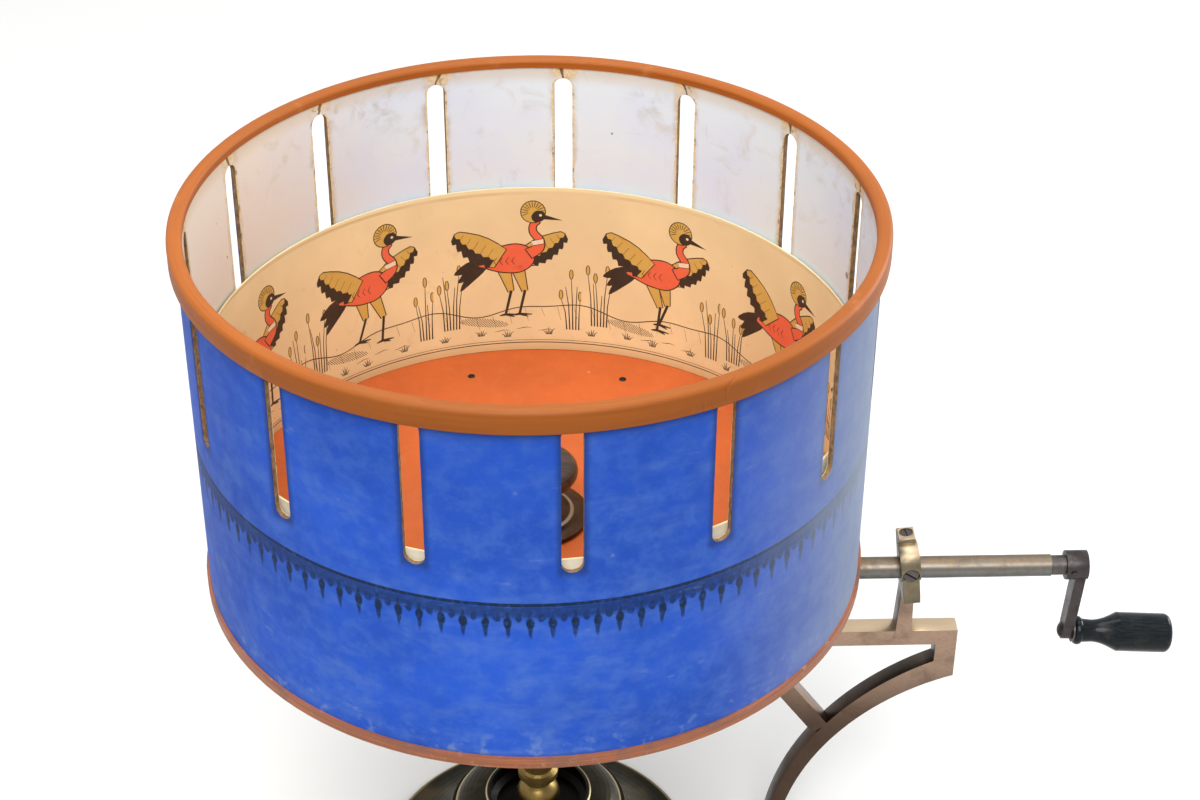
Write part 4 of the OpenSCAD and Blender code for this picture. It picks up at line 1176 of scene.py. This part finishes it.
def nail_group(material):
    """A node group that sets domed nails round a ring."""
    group = bpy.data.node_groups.new("floor nails", "GeometryNodeTree")
    kinds = {"Geometry": "Geometry", "Count": "Int", "Seed": "Int"}
    for name in ("Geometry", "Count", "Ring radius", "First angle", "Head radius", "Head height",
                 "Shank radius", "Shank length", "Floor height", "Seed"):
        group.interface.new_socket(name, in_out="INPUT",
                                   socket_type="NodeSocket" + kinds.get(name, "Float"))
    group.interface.new_socket("Geometry", in_out="OUTPUT", socket_type="NodeSocketGeometry")
    tree = Tree(group)
    given = tree.node("NodeGroupInput").outputs

    def make(kind, **values):
        values = {name.replace("_", " "): value for name, value in values.items()}
        return tree.node(kind, {}, values).outputs[0]

    ring = make("GeometryNodeMeshCircle", Vertices=given["Count"], Radius=given["Ring radius"])
    placed = make("GeometryNodeTransform", Geometry=ring,
                  Translation=make("ShaderNodeCombineXYZ", Z=given["Floor height"]),
                  Rotation=make("ShaderNodeCombineXYZ", Z=given["First angle"]))
    ball = make("GeometryNodeMeshUVSphere", Segments=20, Rings=12, Radius=1.0)
    head = make("GeometryNodeTransform", Geometry=ball, Scale=tree.vector(
        given["Head radius"], given["Head radius"], given["Head height"]))
    shank = make("GeometryNodeMeshCylinder", Vertices=16, Radius=given["Shank radius"],
                 Depth=given["Shank length"])
    down = make("ShaderNodeCombineXYZ", Z=Num(tree, given["Shank length"]) * -0.5)
    sunk = make("GeometryNodeTransform", Geometry=shank, Translation=down)
    nail = tree.node("GeometryNodeJoinGeometry")
    for part in (head, sunk):
        tree.feed(nail.inputs["Geometry"], part)
    grow = tree.node("FunctionNodeRandomValue", {"data_type": "FLOAT"},
                     {"Seed": given["Seed"], 2: 0.88, 3: 1.0})
    each = make("GeometryNodeInstanceOnPoints", Points=placed, Instance=nail.outputs["Geometry"],
                Scale=grow.outputs[1])
    real = make("GeometryNodeRealizeInstances", Geometry=each)
    coated = make("GeometryNodeSetMaterial", Geometry=real, Material=material)
    tree.node("NodeGroupOutput", {}, {"Geometry": coated})
    return group


def baked(name, group, values):
    """Runs a node group with the given inputs and returns its result as a plain mesh."""
    holder = bpy.data.objects.new(name + "_maker", bpy.data.meshes.new(name + "_seed"))
    bpy.context.scene.collection.objects.link(holder)
    modifier = holder.modifiers.new("make", "NODES")
    modifier.node_group = group
    for item in group.interface.items_tree:
        if item.item_type == "SOCKET" and item.in_out == "INPUT" and item.name in values:
            modifier[item.identifier] = values[item.name]
    seen = holder.evaluated_get(bpy.context.evaluated_depsgraph_get())
    mesh = bpy.data.meshes.new_from_object(seen)
    mesh.name = name
    holder.modifiers.clear()
    bpy.data.objects.remove(holder)
    return mesh


# ---- Operators ----

class MakeStep(bpy.types.Operator):
    """Base of the making steps."""
    bl_options = {"REGISTER", "UNDO"}

    def execute(self, context):
        self.make(context.scene)
        return {"FINISHED"}


class ZOETROPE_OT_outer_paper(MakeStep):
    """Lays the blue bordered paper round the drum"""
    bl_idname = "zoetrope.outer_paper"
    bl_label = "Blue outer paper"

    def make(self, scene):
        drum = scene.zoetrope_drum
        panels = wall_panels(drum, PAPER_R, 0.12)
        mesh = bend_sheet("outer_paper_sheet", panels, PAPER_R, CARD_R, 0, 0)
        piece("outer_paper_sheet", mesh, "drum", [blue_paper(drum)], ["outer_paper"])


class ZOETROPE_OT_lining(MakeStep):
    """Lays the pale lining inside the drum, torn above the slots"""
    bl_idname = "zoetrope.lining"
    bl_label = "Lining paper"

    def make(self, scene):
        drum = scene.zoetrope_drum
        face_r = LINING_R - PAPER_T
        top = WALL_LOW + (drum.slot_rise + drum.slot_length) / MM

        def extra(middle, chance):
            lean = chance.uniform(-2.6, 2.6)
            line = [(middle + lean * (k / 5) ** 1.5 + chance.uniform(-0.35, 0.35),
                     top - 1.2 + (WALL_TOP + 1.6 - top) * k / 5) for k in range(6)]
            crack = pen(line, 0.7, chance.uniform(0.8, 2.0), chance.uniform(1.0, 3.0), HOLE)
            torn = []
            for side in (-1, 1):
                size = chance.uniform(1.5, 4.5)
                x = middle + side * chance.uniform(1.5, 4.5)
                patch = [(x + size * (1 + chance.uniform(-0.3, 0.3)) * math.cos(t / 9 * 2 * math.pi),
                          WALL_TOP - 2 + 0.9 * size * (1 + chance.uniform(-0.3, 0.3))
                          * math.sin(t / 9 * 2 * math.pi)) for t in range(9)]
                torn.append(([patch], TORN))
            fray = [(x + 0.7 * math.copysign(1, x - middle), z)
                    for x, z in slot_outline(middle, drum, 0.6, chance)]
            return [([fray], TORN)] + torn + [crack]

        panels = wall_panels(drum, face_r, 0.2, extra)
        mesh = bend_sheet("inner_lining_sheet", panels, face_r, LINING_R, TORN, TORN)
        piece("inner_lining_sheet", mesh, "drum", [lining_paper(drum), torn_paper()],
              ["inner_lining"])


class ZOETROPE_OT_wall(MakeStep):
    """Gives the pasteboard wall its brown card"""
    bl_idname = "zoetrope.wall"
    bl_label = "Wall card"

    def make(self, scene):
        dress(wall_card(), "drum_wall")


class ZOETROPE_OT_hoops(MakeStep):
    """Bends the rim hoop with its scarf joint, and gives the lower hoop its wood"""
    bl_idname = "zoetrope.hoops"
    bl_label = "Hoops"

    def make(self, scene):
        drum = scene.zoetrope_drum
        lip, round_r, skirt_r, clear = 0.7, 2.4, 0.9, 0.02
        inner = LINING_R - PAPER_T - lip
        section = [(inner, WALL_TOP + clear), (inner, RIM_TOP - round_r)]
        section += self.arc(inner + round_r, RIM_TOP - round_r, round_r, 180, 90)
        section += self.arc(RIM_R - round_r, RIM_TOP - round_r, round_r, 90, 0)
        section += [(RIM_R, RIM_LOW + skirt_r)]
        section += self.arc(RIM_R - skirt_r, RIM_LOW + skirt_r, skirt_r, 0, -90)
        section += [(PAPER_R + clear, RIM_LOW), (PAPER_R + clear, WALL_TOP + clear)]
        scarf, reach, fine_step, coarse_step = -63.0, 7.0, 0.12, 1.2
        fine = [scarf - reach + i * fine_step for i in range(int(2 * reach / fine_step))]
        coarse = [scarf + reach + i * coarse_step
                  for i in range(int((360 - 2 * reach) / coarse_step))]
        joint_run, joint_width = 5, 0.22
        edge_index = len(section) - 2

        def shift(angle, index):
            radius, height = section[index]
            if index in (0, edge_index, edge_index + 1) or abs(radius - inner) < 0.01:
                return 0, 0
            turn = math.radians(angle)
            out = -0.14 + 0.12 * math.sin(3 * turn + 1) + 0.06 * math.sin(11 * turn)
            up = -0.12 + 0.1 * math.sin(2 * turn) + 0.05 * math.sin(9 * turn + 2)
            share = (height - RIM_LOW) / (RIM_TOP - RIM_LOW) + (RIM_R - radius) * 0.12
            joint = scarf + (share - 0.5) * joint_run
            depth = max(0, 1 - abs(angle - joint) / joint_width)
            return min(0, out) - depth * 0.45, min(0, up) - depth * 0.35

        mesh = hoop_mesh("rim_hoop_wood", section, fine + coarse, shift)
        piece("rim_hoop_wood", mesh, "drum", [hoop_wood(drum)], ["rim_hoop"])
        dress(lower_wood(drum), "base_hoop")

    @staticmethod
    def arc(x, y, radius, start, end, steps=6):
        """Points of a round corner."""
        turns = [math.radians(start + (end - start) * i / steps) for i in range(1, steps + 1)]
        return [(x + radius * math.cos(t), y + radius * math.sin(t)) for t in turns]


class ZOETROPE_OT_floor(MakeStep):
    """Papers the floor and drives the nails"""
    bl_idname = "zoetrope.floor"
    bl_label = "Floor and nails"

    def make(self, scene):
        drum = scene.zoetrope_drum
        dress(floor_paper(drum), "floor_paper")
        dress(board_wood(), "floor_board")
        iron = dark_steel(scene.zoetrope_metal, "nail iron", 0.5, 0.4)
        low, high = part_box("floor_nails")
        floor = FLOOR_TOP * MM
        mesh = baked("floor_nail_set", nail_group(iron), {
            "Count": drum.nail_count, "Ring radius": drum.nail_ring,
            "First angle": math.radians(drum.nail_phase), "Head radius": NAIL_HEAD_R,
            "Head height": high.z - floor, "Shank radius": NAIL_R,
            "Shank length": floor - low.z, "Floor height": floor, "Seed": SEED})
        smoothed(mesh, math.radians(50))
        mesh.materials.clear()
        piece("floor_nail_set", mesh, "drum", [iron], ["floor_nails"])


class ZOETROPE_OT_strip(MakeStep):
    """Prints the picture strip: a crane that dances once round the drum"""
    bl_idname = "zoetrope.strip"
    bl_label = "Picture strip"

    def make(self, scene):
        strip = scene.zoetrope_strip
        mesh = strip_mesh(strip, STRIP_R - STRIP_T)
        inks = [strip_card(strip), ink(strip, "red ink", strip.red, 0.94),
                ink(strip, "mustard ink", strip.mustard, 0.9), ink(strip, "black ink", strip.black, 0.98),
                ink(strip, "cream ink", strip.cream, 0.8), strip_back()]
        piece("picture_strip_card", mesh, "strip", inks, ["picture_strip"])


class ZOETROPE_OT_hub(MakeStep):
    """Finishes the disc, knob and sleeve"""
    bl_idname = "zoetrope.hub"
    bl_label = "Hub"

    def make(self, scene):
        metal = scene.zoetrope_metal
        dress(bronze(metal), "hub_disc")
        dress(knob_wood(), "drum_knob")
        dress(brass(metal, "sleeve brass", 0.5), "hub_sleeve", "thrust_washer")
        dress(dark_steel(metal, "flange screw steel"), "sleeve_screws")


class ZOETROPE_OT_gears(MakeStep):
    """Finishes the crown wheel and pinion"""
    bl_idname = "zoetrope.gears"
    bl_label = "Gears"

    def make(self, scene):
        metal = scene.zoetrope_metal
        dress(brass(metal, "gear brass", 0.4, 0.22), "crown_wheel", "pinion", "wheel_rivets")
        dress(dark_steel(metal, "pin steel"), "pinion_pin")


class ZOETROPE_OT_foot(MakeStep):
    """Finishes the foot, cup and pillar"""
    bl_idname = "zoetrope.foot"
    bl_label = "Foot and pillar"

    def make(self, scene):
        metal = scene.zoetrope_metal
        dress(patina(metal), "base_foot")
        dress(cup_bronze(), "brass_cup")
        dress(brass(metal, "pillar brass", 0.72, 0.28, 0.55), "pillar")
        dress(rough_iron(), "base_weight")
        dress(felt(), "base_pad")
        dress(dark_steel(metal, "nut steel"), "pillar_nut")


class ZOETROPE_OT_bracket(MakeStep):
    """Files the bracket's edges and finishes its posts, strap and screws"""
    bl_idname = "zoetrope.bracket"
    bl_label = "Bracket and clamp"

    def make(self, scene):
        metal = scene.zoetrope_metal
        satin = bracket_steel("bracket steel", metal.bracket)
        eased("bracket", "stand", satin, 0.55)
        eased("outer_post", "stand", satin, 0.4)
        strap = bracket_steel("strap steel", metal.strap)
        eased("clamp_strap", "stand", strap, 0.4)
        eased("inner_post", "stand", satin, 0.4)
        dress(dark_steel(metal, "screw steel", 0.3), "strap_screws", "bracket_screw", "inner_post_screw")


class ZOETROPE_OT_shaft(MakeStep):
    """Finishes the tube, shaft and collar"""
    bl_idname = "zoetrope.shaft"
    bl_label = "Shaft and tube"

    def make(self, scene):
        metal = scene.zoetrope_metal
        steel = tube_steel(metal)
        dress(steel, "bearing_tube", "crank_shaft", "spindle")
        dress(dark_steel(metal, "collar steel"), "shaft_collar")


class ZOETROPE_OT_crank(MakeStep):
    """Finishes the crank arm and its black handle"""
    bl_idname = "zoetrope.crank"
    bl_label = "Crank and handle"

    def make(self, scene):
        metal = scene.zoetrope_metal
        dark = dark_steel(metal, "crank steel", 0.3, 0.56)
        eased("crank_arm", "crank", dark, 0.35)
        dress(dark, "crank_pin", "handle_pin")
        dress(dark_steel(metal, "washer steel", 0.25), "handle_washer", "handle_end_washer")
        dress(ebony((0.0075, 0.0105, 0.0135)), "crank_handle")


class ZOETROPE_OT_stage(MakeStep):
    """Sets the floor, soft lamps and camera"""
    bl_idname = "zoetrope.stage"
    bl_label = "Stage"

    def make(self, scene):
        stage = scene.zoetrope_stage
        scene.view_settings.view_transform = "Standard"
        self.floor(scene, stage)
        self.world(scene)
        self.lamps(scene)
        self.camera(scene, stage)

    @staticmethod
    def floor(scene, stage):
        half = 6.0
        mesh = bpy.data.meshes.new("floor")
        mesh.from_pydata([(-half, -half, 0), (half, -half, 0), (half, half, 0), (-half, half, 0)], [],
                         [(0, 1, 2, 3)])
        plane = bpy.data.objects.new("floor", mesh)
        scene.collection.objects.link(plane)
        mesh.materials.append(pale_floor(stage))

    @staticmethod
    def world(scene):
        scene.world = bpy.data.worlds.new("studio")
        scene.world.use_nodes = True
        tree = Tree(scene.world.node_tree)
        sky = tree.blend(seen_rays(tree), FILL_LIGHT, BACKDROP)
        glow = tree.node("ShaderNodeBackground", {}, {"Color": sky})
        tree.node("ShaderNodeOutputWorld", {}, {"Surface": glow.outputs["Background"]})

    @staticmethod
    def lamps(scene):
        for name, place, aim, size, power, colour in (
                ("front_sky", (-0.05, -1.7, 2.2), (0, 0.05, 0.25), 1.8, 60, (1.0, 0.99, 0.97)),
                ("top_panel", (-0.2, 0.3, 1.9), (0, 0, 0.25), 1.4, 16, (1.0, 0.985, 0.96)),
                ("left_window", (-1.6, -0.7, 1.3), (0, 0, 0.3), 1.0, 2.5, (1.0, 0.96, 0.90)),
                ("right_window", (1.7, 0.9, 0.8), (0.05, 0, 0.3), 1.1, 26, (0.92, 0.96, 1.0))):
            lamp = bpy.data.lights.new(name, "AREA")
            lamp.shape = "DISK"
            lamp.size = size
            lamp.energy = power
            lamp.color = colour
            holder = bpy.data.objects.new(name, lamp)
            holder.location = place
            holder.rotation_euler = (Vector(aim) - Vector(place)).to_track_quat("-Z", "Y").to_euler()
            scene.collection.objects.link(holder)

    @staticmethod
    def camera(scene, stage):
        yaw, pitch, roll = (math.radians(a) for a in
                            (stage.camera_yaw, stage.camera_pitch, stage.camera_roll))
        ahead = Vector((math.sin(yaw) * math.cos(pitch), math.cos(yaw) * math.cos(pitch),
                        -math.sin(pitch)))
        level = ahead.cross(Vector((0, 0, 1))).normalized()
        above = level.cross(ahead)
        right = math.cos(roll) * level + math.sin(roll) * above
        up = math.cos(roll) * above - math.sin(roll) * level
        lens = bpy.data.cameras.new("camera")
        lens.sensor_width = 36
        lens.lens = stage.lens
        lens.clip_start = 0.01
        holder = bpy.data.objects.new("camera", lens)
        turn = Matrix((right, up, -ahead)).transposed().to_4x4()
        holder.matrix_world = Matrix.Translation((0, -stage.camera_back, stage.camera_height)) @ turn
        scene.collection.objects.link(holder)
        scene.camera = holder


STEPS = (ZOETROPE_OT_outer_paper, ZOETROPE_OT_lining, ZOETROPE_OT_wall, ZOETROPE_OT_hoops,
         ZOETROPE_OT_floor, ZOETROPE_OT_strip, ZOETROPE_OT_hub, ZOETROPE_OT_gears, ZOETROPE_OT_foot,
         ZOETROPE_OT_bracket, ZOETROPE_OT_shaft, ZOETROPE_OT_crank, ZOETROPE_OT_stage)


class ZOETROPE_PT_steps(bpy.types.Panel):
    """Lists the zoetrope's making steps and settings"""
    bl_idname = "ZOETROPE_PT_steps"
    bl_label = "Zoetrope"
    bl_space_type = "VIEW_3D"
    bl_region_type = "UI"
    bl_category = "Zoetrope"

    def draw(self, context):
        for step in STEPS:
            self.layout.operator(step.bl_idname)
        for group in (context.scene.zoetrope_drum, context.scene.zoetrope_strip,
                      context.scene.zoetrope_metal, context.scene.zoetrope_stage):
            column = self.layout.column()
            for name in group.__annotations__:
                column.prop(group, name)


SETTINGS = (("zoetrope_drum", DrumSettings), ("zoetrope_strip", StripSettings),
            ("zoetrope_metal", MetalSettings), ("zoetrope_stage", StageSettings))


def register():
    for name, group in SETTINGS:
        bpy.utils.register_class(group)
        setattr(bpy.types.Scene, name, PointerProperty(type=group))
    for step in STEPS:
        bpy.utils.register_class(step)
    bpy.utils.register_class(ZOETROPE_PT_steps)


def unregister():
    bpy.utils.unregister_class(ZOETROPE_PT_steps)
    for step in reversed(STEPS):
        bpy.utils.unregister_class(step)
    for name, group in reversed(SETTINGS):
        delattr(bpy.types.Scene, name)
        bpy.utils.unregister_class(group)


def main():
    register()
    for step in STEPS:
        area, name = step.bl_idname.split(".")
        getattr(getattr(bpy.ops, area), name)()


if __name__ == "__main__":
    main()
